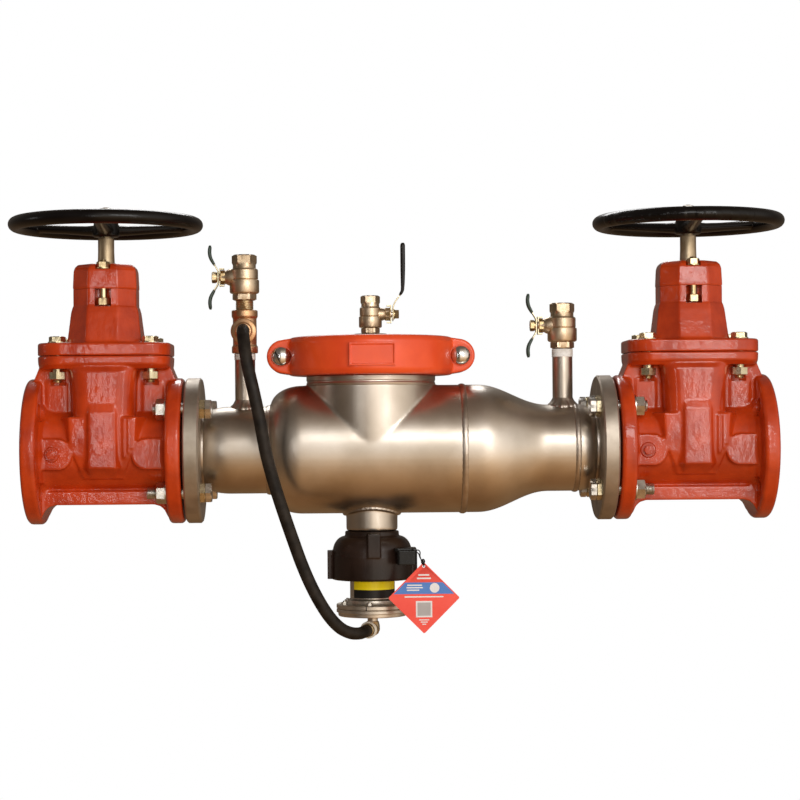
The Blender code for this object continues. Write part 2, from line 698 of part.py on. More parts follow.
def relief_valve():
    at = (BRANCH_X, 0, 0)
    collar = DRAIN_NECK_Z - GAP
    outer = [(31, collar), (35.5, collar), (35.5, -115)] + arc((35.5, -115), (53, -137), 3, True)
    inner = [(48, BELL_BOTTOM_Z), (48, -140), (31, -124)]
    bell = turned("relief_bell", [*outer, (53, BELL_BOTTOM_Z), *inner], BELL, at, steps=24)
    join(
        bell,
        block("bell_ear_left", (BRANCH_X - 59, -10, BELL_BOTTOM_Z), (BRANCH_X - 50, 10, -132)),
        block("bell_ear_right", (BRANCH_X + 50, -10, BELL_BOTTOM_Z), (BRANCH_X + 59, 10, -132)),
        block("bell_rib", (BRANCH_X - 9.5, -54, -144), (BRANCH_X + 9.5, -36, -112)),
    )
    cut(bell, rod("bell_room", (BRANCH_X, 0, -150), (BRANCH_X, 0, -100), 31))

    joint = RELIEF_JOINT_Z
    cylinder = ((RELIEF_R, -130), (20, -130), (20, -136), (25, -136), (25, joint))
    cylinder += ((RELIEF_FLANGE_R, joint), (RELIEF_FLANGE_R, -200), (RELIEF_R, -200))
    turned("relief_body", cylinder, STEEL, at, steps=24)

    cover = ((0, joint - GAP), (RELIEF_FLANGE_R, joint - GAP), (RELIEF_FLANGE_R, RELIEF_BOTTOM_Z))
    cover += ((7, RELIEF_BOTTOM_Z), (7, ELBOW_Z + 9.5 + GAP), (0, ELBOW_Z + 9.5 + GAP))
    turned("relief_cover", cover, STEEL, at, steps=24)

    piston = ((0, -136.3), (24.6, -136.3), (24.6, -146), (6, -146), (6, -196), (0, -196))
    turned("relief_piston", piston, BRONZE, at, UP, 24, (BRANCH_X, 0, -136.3))

    centre = Vector((BRANCH_X, 0, ELBOW_Z))
    elbow = rod("drain_elbow", centre + UP * 9.2, centre - UP * 9.5, 9.5, BRASS, 20)
    port = ((0, 0), (9, 0), (9, 13), (11, 14), (11, ELBOW_REACH), (0, ELBOW_REACH))
    join(elbow, turned("elbow_port", port, at=centre, way=ELBOW_WAY, steps=20))

    arc_points = []
    for step in range(5):
        angle = math.radians(74 - 36 * step / 4)
        reach = 53 + GAP
        arc_points.append((BRANCH_X + reach * math.sin(angle), -reach * math.cos(angle)))
    sensor = [(481, -64), (505, -64), (505, -30), *arc_points]
    extruded("flow_sensor", sensor, -150, -131, BLACK_PAINT)


def tag():
    """A square tag that hangs from one corner."""
    x, z = TAG_HOLE
    half = TAG_SIDE / math.sqrt(2)
    centre_z = z + 5.0 - half
    outline = ((x, centre_z - half), (x + half, centre_z), (x, centre_z + half), (x - half, centre_z))
    far, near = TAG_Y
    plate = extruded("tag", outline, -near, -far, TAG_RED, way=FRONT, origin=(x, near, z))
    cut(plate, rod("tag_hole", (x, -80, z), (x, -50, z), 1.6, steps=10))


def smooth_route(route, spacing):
    """Points about that far apart on a Catmull-Rom curve through the route's points."""
    points = [Vector(p) for p in route]
    points = [points[0] * 2 - points[1], *points, points[-1] * 2 - points[-2]]
    line = []
    for before, start, end, after in zip(points, points[1:], points[2:], points[3:]):
        steps = max(1, round((end - start).length / spacing))
        for step in range(steps):
            t = step / steps
            line.append(
                (
                    2 * start
                    + (end - before) * t
                    + (2 * before - 5 * start + 4 * end - after) * t**2
                    + (3 * start - before - 3 * end + after) * t**3
                )
                / 2
            )
    return [*line, points[-2]]


def hose():
    line = smooth_route(HOSE_ROUTE, HOSE_STEP)
    curve = bpy.data.curves.new("hose", "CURVE")
    curve.dimensions = "3D"
    curve.bevel_depth = HOSE_R * MM
    curve.bevel_resolution = 2
    curve.use_fill_caps = True
    spline = curve.splines.new("POLY")
    spline.points.add(len(line) - 1)
    for point, place in zip(spline.points, line):
        point.co = (*(place * MM), 1)
    curve.materials.append(BLACK_RUBBER)
    bpy.context.scene.collection.objects.link(bpy.data.objects.new("hose", curve))


for leftover in list(bpy.data.objects):
    bpy.data.objects.remove(leftover)

RED = look("red_enamel", (0.62, 0.09, 0.025), 0.3, 0.0)
ORANGE = look("orange_enamel", (0.72, 0.12, 0.03), 0.4, 0.0)
STEEL = look("satin_steel", (0.62, 0.57, 0.51), 0.38, 1.0)
BRONZE = look("bronze", (0.58, 0.44, 0.27), 0.42, 1.0)
COPPER = look("coppery_bronze", (0.68, 0.40, 0.22), 0.38, 1.0)
BRASS = look("brass", (0.75, 0.56, 0.25), 0.3, 1.0)
CHROME = look("chrome", (0.75, 0.75, 0.75), 0.12, 1.0)
ZINC = look("zinc", (0.6, 0.57, 0.48), 0.35, 1.0)
BLACK_PAINT = look("black_paint", (0.015, 0.015, 0.017), 0.3, 0.0)
BLACK_RUBBER = look("black_rubber", (0.02, 0.02, 0.02), 0.7, 0.0)
BELL = look("dark_brown_casting", (0.03, 0.02, 0.018), 0.4, 0.0)
GREEN = look("green_vinyl", (0.05, 0.08, 0.06), 0.45, 0.0)
TAG_RED = look("tag_red", (0.75, 0.09, 0.06), 0.5, 0.0)

gate_valve("inlet", INLET_X, 1)
gate_valve("outlet", OUTLET_X, -1)
housing()
capped_branch()
check_valve("first_check", 300.0, 53.2, 34.0, 37.5, 43.0)
check_valve("second_check", 576.0, 80.2, 40.0, 44.0, 50.0)
bronze_tee()
ball_valve("inlet_cock", LEFT_RISER_X, 197.0, 1.0, -1, False)
ball_valve("outlet_cock", RIGHT_RISER_X, 131.0, 1.0, -1, False)
ball_valve("top_cock", BRANCH_X, CAP_Z[1] + GAP, 0.78, 1, True)
relief_valve()
tag()
hose()
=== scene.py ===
"""The looks of the 3 inch backflow preventer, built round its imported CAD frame.

Lengths are in millimetres and MM turns them into metres where a mesh is made. X runs along the
pipe, Z is up and the front is at -Y, as in the CAD.
"""

import math

import bmesh
import bpy
from mathutils import Matrix, Vector, noise


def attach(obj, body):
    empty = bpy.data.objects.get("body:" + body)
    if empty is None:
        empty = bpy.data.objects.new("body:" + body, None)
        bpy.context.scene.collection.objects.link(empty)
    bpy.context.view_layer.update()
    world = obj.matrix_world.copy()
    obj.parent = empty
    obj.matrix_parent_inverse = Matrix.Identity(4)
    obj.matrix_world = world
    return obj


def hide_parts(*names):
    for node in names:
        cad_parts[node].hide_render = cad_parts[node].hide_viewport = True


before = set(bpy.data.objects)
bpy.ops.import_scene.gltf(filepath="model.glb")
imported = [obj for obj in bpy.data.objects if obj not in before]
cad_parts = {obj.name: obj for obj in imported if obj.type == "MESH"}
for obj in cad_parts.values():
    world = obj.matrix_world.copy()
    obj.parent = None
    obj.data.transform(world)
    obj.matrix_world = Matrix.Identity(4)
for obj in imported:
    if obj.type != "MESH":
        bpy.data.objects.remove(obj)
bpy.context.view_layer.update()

MM = 0.001
# The room left between two pieces that meet
GAP = 0.3
UP, FRONT, FLOW = Vector((0, 0, 1)), Vector((0, -1, 0)), Vector((1, 0, 0))
ORIGIN = (0, 0, 0)

# Places in the frame
INLET_X, OUTLET_X = 101.6, 869.6
HALF_VALVE = 101.6
FLANGE_R, FLANGE_THICK = 95.25, 20.0
BOLT_SPREAD = 76.2 / math.sqrt(2)
HOUSING_X, HOUSING_END_X = 206.2, 765.0
BARREL_R, PIPE_R, NECK_R = 84.15, 57.15, 45.5
BORE_R, RISER_BORE_R, DRAIN_R = 41.9, 10.4, 33.8
BRANCH_X, BRANCH_R = 448.0, 83.6
LEFT_RISER_X, RIGHT_RISER_X = 282.6, 701.4
PLATE_SPREAD_X, PLATE_SPREAD_Y = 60.0, 35.0
CORNERS = ((-1, -1), (1, -1), (1, 1), (-1, 1))
FLANGE_BOLTS = [(y * BOLT_SPREAD, z * BOLT_SPREAD) for y, z in CORNERS]
PLATE_BOLTS = [(x * PLATE_SPREAD_X, y * PLATE_SPREAD_Y) for x, y in CORNERS]
FLANGE_HOLE_R, PLATE_HOLE_R = 9.5, 6.9
FLANGE_NUT, PLATE_NUT = 23.8, 19
GLAND_STUD_Y = 36
# How many times further from a hexagon's middle its corners are than its flats
HEX_CORNER = 1 / math.cos(math.pi / 6)

# The camera: how far it stands from the pipe's axis, and how many of the picture's pixels a
# millimetre fills there
CAMERA_DISTANCE = 2650.0
PIXELS_PER_MM = 0.758
PICTURE = 800
FILM_WIDTH = 36.0
CAMERA_TURN = math.radians(-1.6)
CAMERA_ROLL = math.radians(0.45)
CAMERA_AIM = (482.6, 32.5)
HORIZON_BELOW_MIDDLE = 24.3
AXIS_BESIDE_MIDDLE = 2.6


# ---------------------------------------------------------------- camera and hose


def add_object(name, data):
    made = bpy.data.objects.new(name, data)
    bpy.context.scene.collection.objects.link(made)
    return made


def place_camera():
    data = bpy.data.cameras.new("camera")
    data.sensor_width = FILM_WIDTH
    data.lens = CAMERA_DISTANCE * PIXELS_PER_MM / PICTURE * FILM_WIDTH
    data.shift_x = AXIS_BESIDE_MIDDLE / PICTURE
    data.shift_y = HORIZON_BELOW_MIDDLE / PICTURE
    camera = add_object("camera", data)
    forward = Vector((-math.sin(CAMERA_TURN), math.cos(CAMERA_TURN), 0))
    aim = Vector((CAMERA_AIM[0], 0, CAMERA_AIM[1]))
    turn = (-forward).to_track_quat("Z", "Y").to_matrix() @ Matrix.Rotation(-CAMERA_ROLL, 3, "Z")
    placing = Matrix.Translation((aim - forward * CAMERA_DISTANCE) * MM)
    camera.matrix_world = placing @ turn.to_4x4()
    bpy.context.scene.camera = camera


HOSE_R = 8.0
HOSE_ROUTE = (
    (282.6, -38.4, 156.0), (282.7, -51.0, 155.8), (283.5, -68.0, 151.5), (285.2, -84.0, 140.5),
    (287.6, -96.0, 124.5), (291.8, -103.0, 103.0), (298.0, -105.5, 76.0), (305.0, -105.5, 42.0),
    (312.0, -103.0, 2.0), (319.5, -99.0, -29.0), (328.0, -95.0, -58.5), (337.0, -91.0, -87.0),
    (346.5, -86.5, -115.5), (356.0, -81.5, -143.0), (367.0, -77.0, -170.0), (379.5, -72.5, -195.0),
    (392.5, -67.0, -215.5), (405.5, -60.5, -229.5), (418.0, -52.5, -236.5), (428.5, -43.0, -238.5),
    (435.3, -32.9, -237.9), (439.6, -21.8, -237.2),
)


def smooth_route(route, spacing):
    """Points about that far apart on a Catmull-Rom curve through the route's points."""
    points = [Vector(p) for p in route]
    points = [points[0] * 2 - points[1], *points, points[-1] * 2 - points[-2]]
    line = []
    for before, start, end, after in zip(points, points[1:], points[2:], points[3:]):
        steps = max(1, round((end - start).length / spacing))
        for t in [step / steps for step in range(steps)]:
            bend = (2 * before - 5 * start + 4 * end - after) * t**2
            twist = (3 * start - before - 3 * end + after) * t**3
            line.append((2 * start + (end - before) * t + bend + twist) / 2)
    return [*line, points[-2]]


def tube(name, points, radius, sides):
    """A round tube along points, as a curve."""
    curve = bpy.data.curves.new(name, "CURVE")
    curve.dimensions = "3D"
    curve.bevel_depth = radius * MM
    curve.bevel_resolution = sides
    curve.use_fill_caps = True
    spline = curve.splines.new("POLY")
    spline.points.add(len(points) - 1)
    for point, place in zip(spline.points, points):
        point.co = (*(Vector(place) * MM), 1)
    spline.use_smooth = True
    return add_object(name, curve)


def make_hose():
    line = smooth_route(HOSE_ROUTE, 4.0)
    length = sum((b - a).length for a, b in zip(line, line[1:]))
    hose = tube("sensing_hose", line, HOSE_R, sides=8)
    dress(hose, RUBBER, "root", "hose")


# ---------------------------------------------------------------- shapes


def frame_along(way):
    """A turn that carries +Z to way; local x and y become (x, z) for FRONT and (y, z) for FLOW."""
    if way == FRONT:
        return Matrix(((1, 0, 0), (0, 0, -1), (0, 1, 0)))
    if way == FLOW:
        return Matrix(((0, 0, 1), (1, 0, 0), (0, 1, 0)))
    return UP.rotation_difference(way).to_matrix()


def make(name, bm, at=ORIGIN, way=UP, sharp=35):
    """An object from a shape whose middle goes to the place at and whose +Z goes along way."""
    bmesh.ops.recalc_face_normals(bm, faces=bm.faces)
    bm.transform(Matrix.Scale(MM, 4) @ Matrix.Translation(at) @ frame_along(way).to_4x4())
    mesh = bpy.data.meshes.new(name)
    bm.to_mesh(mesh)
    bm.free()
    return sharpen(add_object(name, mesh), sharp)


def sharpen(made, degrees):
    """Shades a piece smooth but for the edges that turn by more than that."""
    made.data.shade_smooth()
    made.data.set_sharp_from_angle(angle=math.radians(degrees))
    return made


def skinned(rings, closed=False):
    """A surface through rings of points, capped unless its last ring meets its first."""
    bm = bmesh.new()
    rings = [[bm.verts.new(spot) for spot in ring] for ring in rings]
    pairs = list(zip(rings, rings[1:]))
    if closed:
        pairs.append((rings[-1], rings[0]))
    else:
        bm.faces.new(rings[0])
        bm.faces.new(rings[-1])
    for one, other in pairs:
        for step in range(len(one)):
            after = (step + 1) % len(one)
            bm.faces.new((one[step], one[after], other[after], other[step]))
    return bm


def oval(spot, across, up, sides):
    """Points of an ellipse round a spot, given by its two half-axes."""
    turns = [math.tau * step / sides for step in range(sides)]
    return [spot + across * math.cos(turn) + up * math.sin(turn) for turn in turns]


def curved(centre, radius, start, end, steps):
    """Points on a circle from one angle to another, in degrees, with both ends."""
    angles = [math.radians(start + (end - start) * step / steps) for step in range(steps + 1)]
    return [(centre[0] + radius * math.cos(a), centre[1] + radius * math.sin(a)) for a in angles]


def hexagon_radius(across_flats, angle):
    sixth = math.pi / 3
    return across_flats / 2 / math.cos(angle % sixth - sixth / 2)


def turned(name, profile, at=ORIGIN, way=UP, steps=96, sharp=35, ripple=None):
    """A solid turned from (radius, height) points, or a ring where its ends are off the axis.

    A third number makes the point's ring a hexagon that wide across its flats, its corners cut off
    at the radius. ripple(angle, index) is added to a radius.
    """
    bm = bmesh.new()
    rings = []
    for index, (radius, height, *across) in enumerate(profile):
        if radius == 0:
            rings.append([bm.verts.new((0, 0, height))])
            continue
        ring = []
        for step in range(steps):
            angle = math.tau * step / steps
            reach = min(hexagon_radius(*across, angle), radius) if across else radius
            if ripple:
                reach += ripple(angle, index)
            ring.append(bm.verts.new((reach * math.cos(angle), reach * math.sin(angle), height)))
        rings.append(ring)
    pairs = list(zip(rings, rings[1:]))
    if len(rings[0]) > 1:
        pairs.append((rings[-1], rings[0]))
    for one, other in pairs:
        for step in range(steps):
            after = (step + 1) % steps
            corners = [one[step % len(one)], one[after % len(one)]]
            corners += [other[after % len(other)], other[step % len(other)]]
            corners = list(dict.fromkeys(corners))
            if len(corners) > 2:
                bm.faces.new(corners)
    return make(name, bm, at, way, sharp)


def lofted(name, sections, at=ORIGIN, way=UP):
    """A solid through outlines of equal length, each given as (height, outline)."""
    rings = [[(x, y, height) for x, y in outline] for height, outline in sections]
    return make(name, skinned(rings), at, way)


def extruded(name, outline, low, high, at=ORIGIN, way=UP):
    return lofted(name, ((low, outline), (high, outline)), at, way)


def rectangle(left, low, right, high):
    return [(left, low), (right, low), (right, high), (left, high)]


def block(name, low, high):
    return extruded(name, rectangle(low[0], low[1], high[0], high[1]), low[2], high[2])


def rod(name, start, end, radius, steps=48):
    length = (Vector(end) - Vector(start)).length
    way = (Vector(end) - Vector(start)).normalized()
    return turned(name, ((0, 0), (radius, 0), (radius, length), (0, length)), start, way, steps)


def drill(name, x, y, low, high, radius, steps=48):
    """An upright rod."""
    return rod(name, (x, y, low), (x, y, high), radius, steps)


def rounded(width, depth, radius, steps=6):
    """A rectangle's outline with round corners."""
    points = []
    for turn, (sx, sy) in enumerate(((1, 1), (-1, 1), (-1, -1), (1, -1))):
        corner = (sx * (width / 2 - radius), sy * (depth / 2 - radius))
        points += curved(corner, radius, 90 * turn, 90 * turn + 90, steps)
    return points


def bevelled(width, depth, corner):
    """A rectangle's outline with its corners cut off."""
    x, y = width / 2, depth / 2
    return ((x, y - corner), (x - corner, y), (corner - x, y), (-x, y - corner),
            (-x, corner - y), (corner - x, -y), (x - corner, -y), (x, corner - y))


def arc(start, end, steps, upright_first):
    """Points of a quarter ellipse between two (radius, height) points, without its start."""
    points = []
    for step in range(1, steps + 1):
        angle = math.pi / 2 * step / steps
        along_r, along_h = math.sin(angle), 1 - math.cos(angle)
        if not upright_first:
            along_r, along_h = along_h, along_r
        radius = start[0] + (end[0] - start[0]) * along_r
        points.append((radius, start[1] + (end[1] - start[1]) * along_h))
    return points


def wave(start, end, steps):
    """Points of a smooth S between two (radius, height) points, without its start."""
    points = []
    for step in range(1, steps + 1):
        along = step / steps
        rise = (1 - math.cos(math.pi * along)) / 2
        radius = start[0] + (end[0] - start[0]) * rise
        points.append((radius, start[1] + (end[1] - start[1]) * along))
    return points


def threaded(name, radius, depth, pitch, low, high, at=ORIGIN, way=UP, steps=24):
    """A rod with a real helical thread, chamfered at its high end."""
    rows = max(4, round((high - low) / pitch * 6))
    rings = []
    for row in range(rows + 1):
        height = low + (high - low) * row / rows
        ring = []
        for step in range(steps):
            angle = math.tau * step / steps
            along = (height / pitch - step / steps) % 1
            reach = radius - depth * abs(2 * along - 1)
            reach = min(reach, radius - depth + (high - height) * 0.9)
            ring.append((reach * math.cos(angle), reach * math.sin(angle), height))
        rings.append(ring)
    return make(name, skinned(rings), at, way, sharp=60)


def settle(made):
    """Turns an object's modifiers into its mesh."""
    graph = bpy.context.evaluated_depsgraph_get()
    mesh = bpy.data.meshes.new_from_object(made.evaluated_get(graph))
    old = made.data
    made.modifiers.clear()
    made.data = mesh
    bpy.data.meshes.remove(old)
    mesh.name = made.name
    return made


def gather(name, parts):
    """One object from several, which may overlap."""
    bm = bmesh.new()
    for part in parts:
        bm.from_mesh(part.data)
        bpy.data.objects.remove(part)
    mesh = bpy.data.meshes.new(name)
    bm.to_mesh(mesh)
    bm.free()
    return add_object(name, mesh)


def boolean(made, operation, others):
    """Adds the others to a piece or cuts them from it, and removes them."""
    for other in others:
        step = made.modifiers.new(other.name, "BOOLEAN")
        step.operation = operation
        step.solver = "MANIFOLD"
        step.object = other
        bpy.context.view_layer.update()
        settle(made)
        bpy.data.objects.remove(other)
    return made


def cast(name, parts, voxel, rounds, cutters=(), sharp=42):
    """A casting: the parts run together, their corners softened, then machined by the cutters.

    voxel is the grain of the run-together surface and rounds is how often it is smoothed.
    """
    made = gather(name, parts)
    remesh = made.modifiers.new("remesh", "REMESH")
    remesh.mode = "VOXEL"
    remesh.voxel_size = voxel * MM
    soften = made.modifiers.new("soften", "SMOOTH")
    soften.factor = 0.5
    soften.iterations = rounds
    settle(made)
    boolean(made, "DIFFERENCE", cutters)
    return sharpen(made, sharp)


def dress(made, finish, body, *nodes):
    """Gives a piece its material and its body, and hides the CAD nodes that it stands for."""
    made.data.materials.clear()
    made.data.materials.append(finish)
    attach(made, body)
    if nodes:
        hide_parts(*nodes)
    return made


# ---------------------------------------------------------------- materials


def feed(tree, node, inputs):
    """Gives a node's inputs their values, or the outputs of the nodes that they follow."""
    for name, value in inputs.items():
        if isinstance(value, bpy.types.NodeSocket):
            tree.links.new(value, node.inputs[name])
        else:
            node.inputs[name].default_value = value
    return node


def add_node(tree, kind, inputs, **settings):
    node = tree.nodes.new(f"ShaderNode{kind}")
    for name, value in settings.items():
        setattr(node, name, value)
    return feed(tree, node, inputs)


def ramp(tree, share, steps):
    """The colour that a share from 0 to 1 picks out of (share, colour) steps, ends first."""
    node = add_node(tree, "ValToRGB", {"Fac": share})
    elements = node.color_ramp.elements
    for index, (at, colour) in enumerate(steps):
        step = elements[index] if index < 2 else elements.new(at)
        step.position = at
        step.color = (*colour, 1)
    return node.outputs["Color"]


def finish(name, dark, light, rough=0.4, metal=0.0, coat=0.0, blotch=25.0, grain=400.0, bump=0.1,
           lumps=0.0, spread=0.12, shine=0.5):
    """A material whose colour drifts between two, with bumps of grain size and slower lumps.

    blotch and grain are noise scales per metre, spread is how far the roughness wanders, and shine
    is the strength of the reflection where the surface isn't metal.
    """
    made = bpy.data.materials.new(name)
    made.use_nodes = True
    tree = made.node_tree
    place = add_node(tree, "TexCoord", {}).outputs["Object"]

    def noise_of(scale, detail):
        inputs = {"Scale": scale, "Detail": detail, "Vector": place}
        return add_node(tree, "TexNoise", inputs).outputs["Fac"]

    def bumps_of(strength, distance, height, inputs):
        inputs = {"Strength": strength, "Distance": distance * MM, "Height": height, **inputs}
        return add_node(tree, "Bump", inputs).outputs["Normal"]

    colour = ramp(tree, noise_of(blotch, 5.0), ((0.35, dark), (0.65, light)))
    wander = add_node(tree, "MapRange", {
        "Value": noise_of(blotch * 2.5, 4.0), "To Min": max(0.03, rough - spread),
        "To Max": rough + spread,
    })
    slow = {"Normal": bumps_of(lumps, 1.5, noise_of(90.0, 2.0), {})} if lumps else {}
    normal = bumps_of(bump, 0.4, noise_of(grain, 3.0), slow)
    shader = feed(tree, tree.nodes["Principled BSDF"], {
        "Metallic": metal, "Specular IOR Level": shine, "Coat Weight": coat, "Coat Roughness": 0.09,
        "Base Color": colour, "Roughness": wander.outputs["Result"], "Normal": normal,
    })
    if lumps:
        feed(tree, shader, {"Coat Normal": normal})
    return made


RED = finish("red_enamel", (0.38, 0.028, 0.0025), (0.56, 0.052, 0.006), 0.38, coat=0.85,
             grain=420, bump=0.26, lumps=0.3, shine=0.15)
ORANGE = finish("orange_enamel", (0.70, 0.060, 0.009), (0.80, 0.085, 0.014), 0.42, coat=0.25,
                grain=600, bump=0.12, lumps=0.1)
STEEL = finish("satin_steel", (0.50, 0.44, 0.37), (0.66, 0.60, 0.53), 0.34, 1.0,
               blotch=14, grain=1500, bump=0.06, spread=0.08)
FLANGE_STEEL = finish("flange_steel", (0.34, 0.295, 0.24), (0.50, 0.44, 0.37), 0.46, 0.9,
                      blotch=30, grain=900, bump=0.18)
WELD = finish("weld_bead", (0.42, 0.36, 0.30), (0.66, 0.60, 0.54), 0.36, 1.0, grain=350, bump=0.5)
ALUMINIUM = finish("cast_aluminium", (0.60, 0.54, 0.46), (0.80, 0.74, 0.66), 0.42, 1.0,
                   blotch=50, grain=600, bump=0.25)
BRASS = finish("brass", (0.56, 0.42, 0.22), (0.70, 0.56, 0.34), 0.30, 1.0, blotch=40, grain=1400,
               bump=0.04, spread=0.06)
SPINDLE = finish("spindle_brass", (0.50, 0.39, 0.25), (0.64, 0.52, 0.36), 0.46, 1.0, blotch=60,
                 grain=900, bump=0.15, spread=0.05)
BRONZE = finish("bronze", (0.54, 0.41, 0.27), (0.72, 0.58, 0.42), 0.38, 1.0, blotch=45,
                grain=1300, bump=0.12, spread=0.06)
COPPER = finish("coppery_bronze", (0.56, 0.32, 0.16), (0.78, 0.50, 0.30), 0.38, 1.0, blotch=50,
                grain=1000, bump=0.2, spread=0.06)
CHROME = finish("chrome", (0.62, 0.61, 0.60), (0.78, 0.78, 0.78), 0.14, 1.0, bump=0.03, spread=0.05)
ZINC = finish("zinc", (0.52, 0.50, 0.46), (0.72, 0.70, 0.66), 0.30, 1.0, blotch=80, bump=0.1)
YELLOW_ZINC = finish("yellow_zinc", (0.58, 0.49, 0.30), (0.74, 0.67, 0.48), 0.30, 1.0, blotch=80,
                     bump=0.1)
BLACK_ENAMEL = finish("black_enamel", (0.002, 0.0015, 0.0015), (0.005, 0.004, 0.004), 0.24,
                      grain=500, bump=0.06, lumps=0.1, spread=0.05, shine=0.28)
RUBBER = finish("black_rubber", (0.006, 0.0045, 0.0035), (0.022, 0.017, 0.013), 0.55, blotch=70,
                grain=900, bump=0.4, shine=0.25)
GASKET = finish("gasket", (0.012, 0.011, 0.011), (0.03, 0.028, 0.026), 0.8, grain=900, bump=0.3)
GREEN = finish("green_vinyl", (0.020, 0.040, 0.030), (0.040, 0.065, 0.050), 0.38, grain=800,
               bump=0.1)
BLACK_VINYL = finish("black_vinyl", (0.006, 0.005, 0.005), (0.014, 0.012, 0.011), 0.4, grain=800,
                     bump=0.1, shine=0.3)
BELL = finish("bell_casting", (0.012, 0.006, 0.004), (0.026, 0.014, 0.010), 0.30, grain=700,
              bump=0.12, lumps=0.12, spread=0.06, shine=0.35)
SENSOR = finish("sensor_plastic", (0.004, 0.004, 0.004), (0.009, 0.009, 0.009), 0.24, grain=900,
                bump=0.08, shine=0.3)
TAG_RED = finish("tag_red", (0.88, 0.085, 0.060), (0.95, 0.115, 0.085), 0.6, grain=900, bump=0.05)
TAG_BLUE = finish("tag_blue", (0.07, 0.20, 0.55), (0.10, 0.24, 0.62), 0.6, grain=900, bump=0.05)
TAG_WHITE = finish("tag_white", (0.74, 0.73, 0.74), (0.84, 0.83, 0.84), 0.5, grain=900, bump=0.05)
TAG_GREY = finish("tag_grey", (0.40, 0.38, 0.38), (0.48, 0.46, 0.46), 0.6, grain=900, bump=0.05)
YELLOW = finish("label_yellow", (0.97, 0.72, 0.002), (1.0, 0.82, 0.006), 0.45, grain=900, bump=0.08)
TAPE = finish("thread_tape", (0.66, 0.64, 0.60), (0.85, 0.84, 0.82), 0.6, blotch=200, grain=1200,
              bump=0.6)
# Painted highlight: a pale cream colour for the brass elbow's ring, standing in for the bright highlight
# on its brass
RING_HIGHLIGHT_PAINT = finish("painted_ring_highlight", (0.60, 0.55, 0.44), (0.80, 0.76, 0.66), 0.5, grain=900, bump=0.1)
# Painted shade: a near-black finish that stands in for the shade inside a hollow
HOLLOW_SHADE = finish("painted_hollow_shade", (0.010, 0.008, 0.007), (0.022, 0.018, 0.015), 0.8, bump=0.3)


# ---------------------------------------------------------------- gate valves

PLATE_LOW_Z, PLATE_Z, PLATE_TOP_Z = 107.0, 124.0, 141.0
SHOULDER_Z, NECK_TOP_Z, GLAND_TOP_Z = 187.0, 211.0, 244.0
HUB_LOW_Z, HUB_TOP_Z = 280.0, 305.0
WHEEL_Z, WHEEL_R, RIM_R = 298.0, 127.0, 8.25
STEM_R = 11.0
STEM_WAY_R = STEM_R + 0.4
WEDGE_Z, WEDGE_R, WEDGE_HALF = 86.0, 44.0, 19.0


def bolt_cutters(low_x, high_x):
    """The flange bolts' holes between two places along X."""
    return [rod("hole", (low_x, y, z), (high_x, y, z), FLANGE_HOLE_R) for y, z in FLANGE_BOLTS]


def flange(name, near, far, bevel, inner_r=0):
    """A flange's disc between two places along X, its rim bevelled."""
    low, high = min(near, far), max(near, far)
    profile = ((inner_r, low), (FLANGE_R - bevel, low), (FLANGE_R, low + bevel),
               (FLANGE_R, high - bevel), (FLANGE_R - bevel, high), (inner_r, high))
    return turned(name, profile, way=FLOW, steps=128)


def plate_outline(grow=0.0):
    return rounded(172 + grow, 120 + grow, 32 + grow / 2, 12)


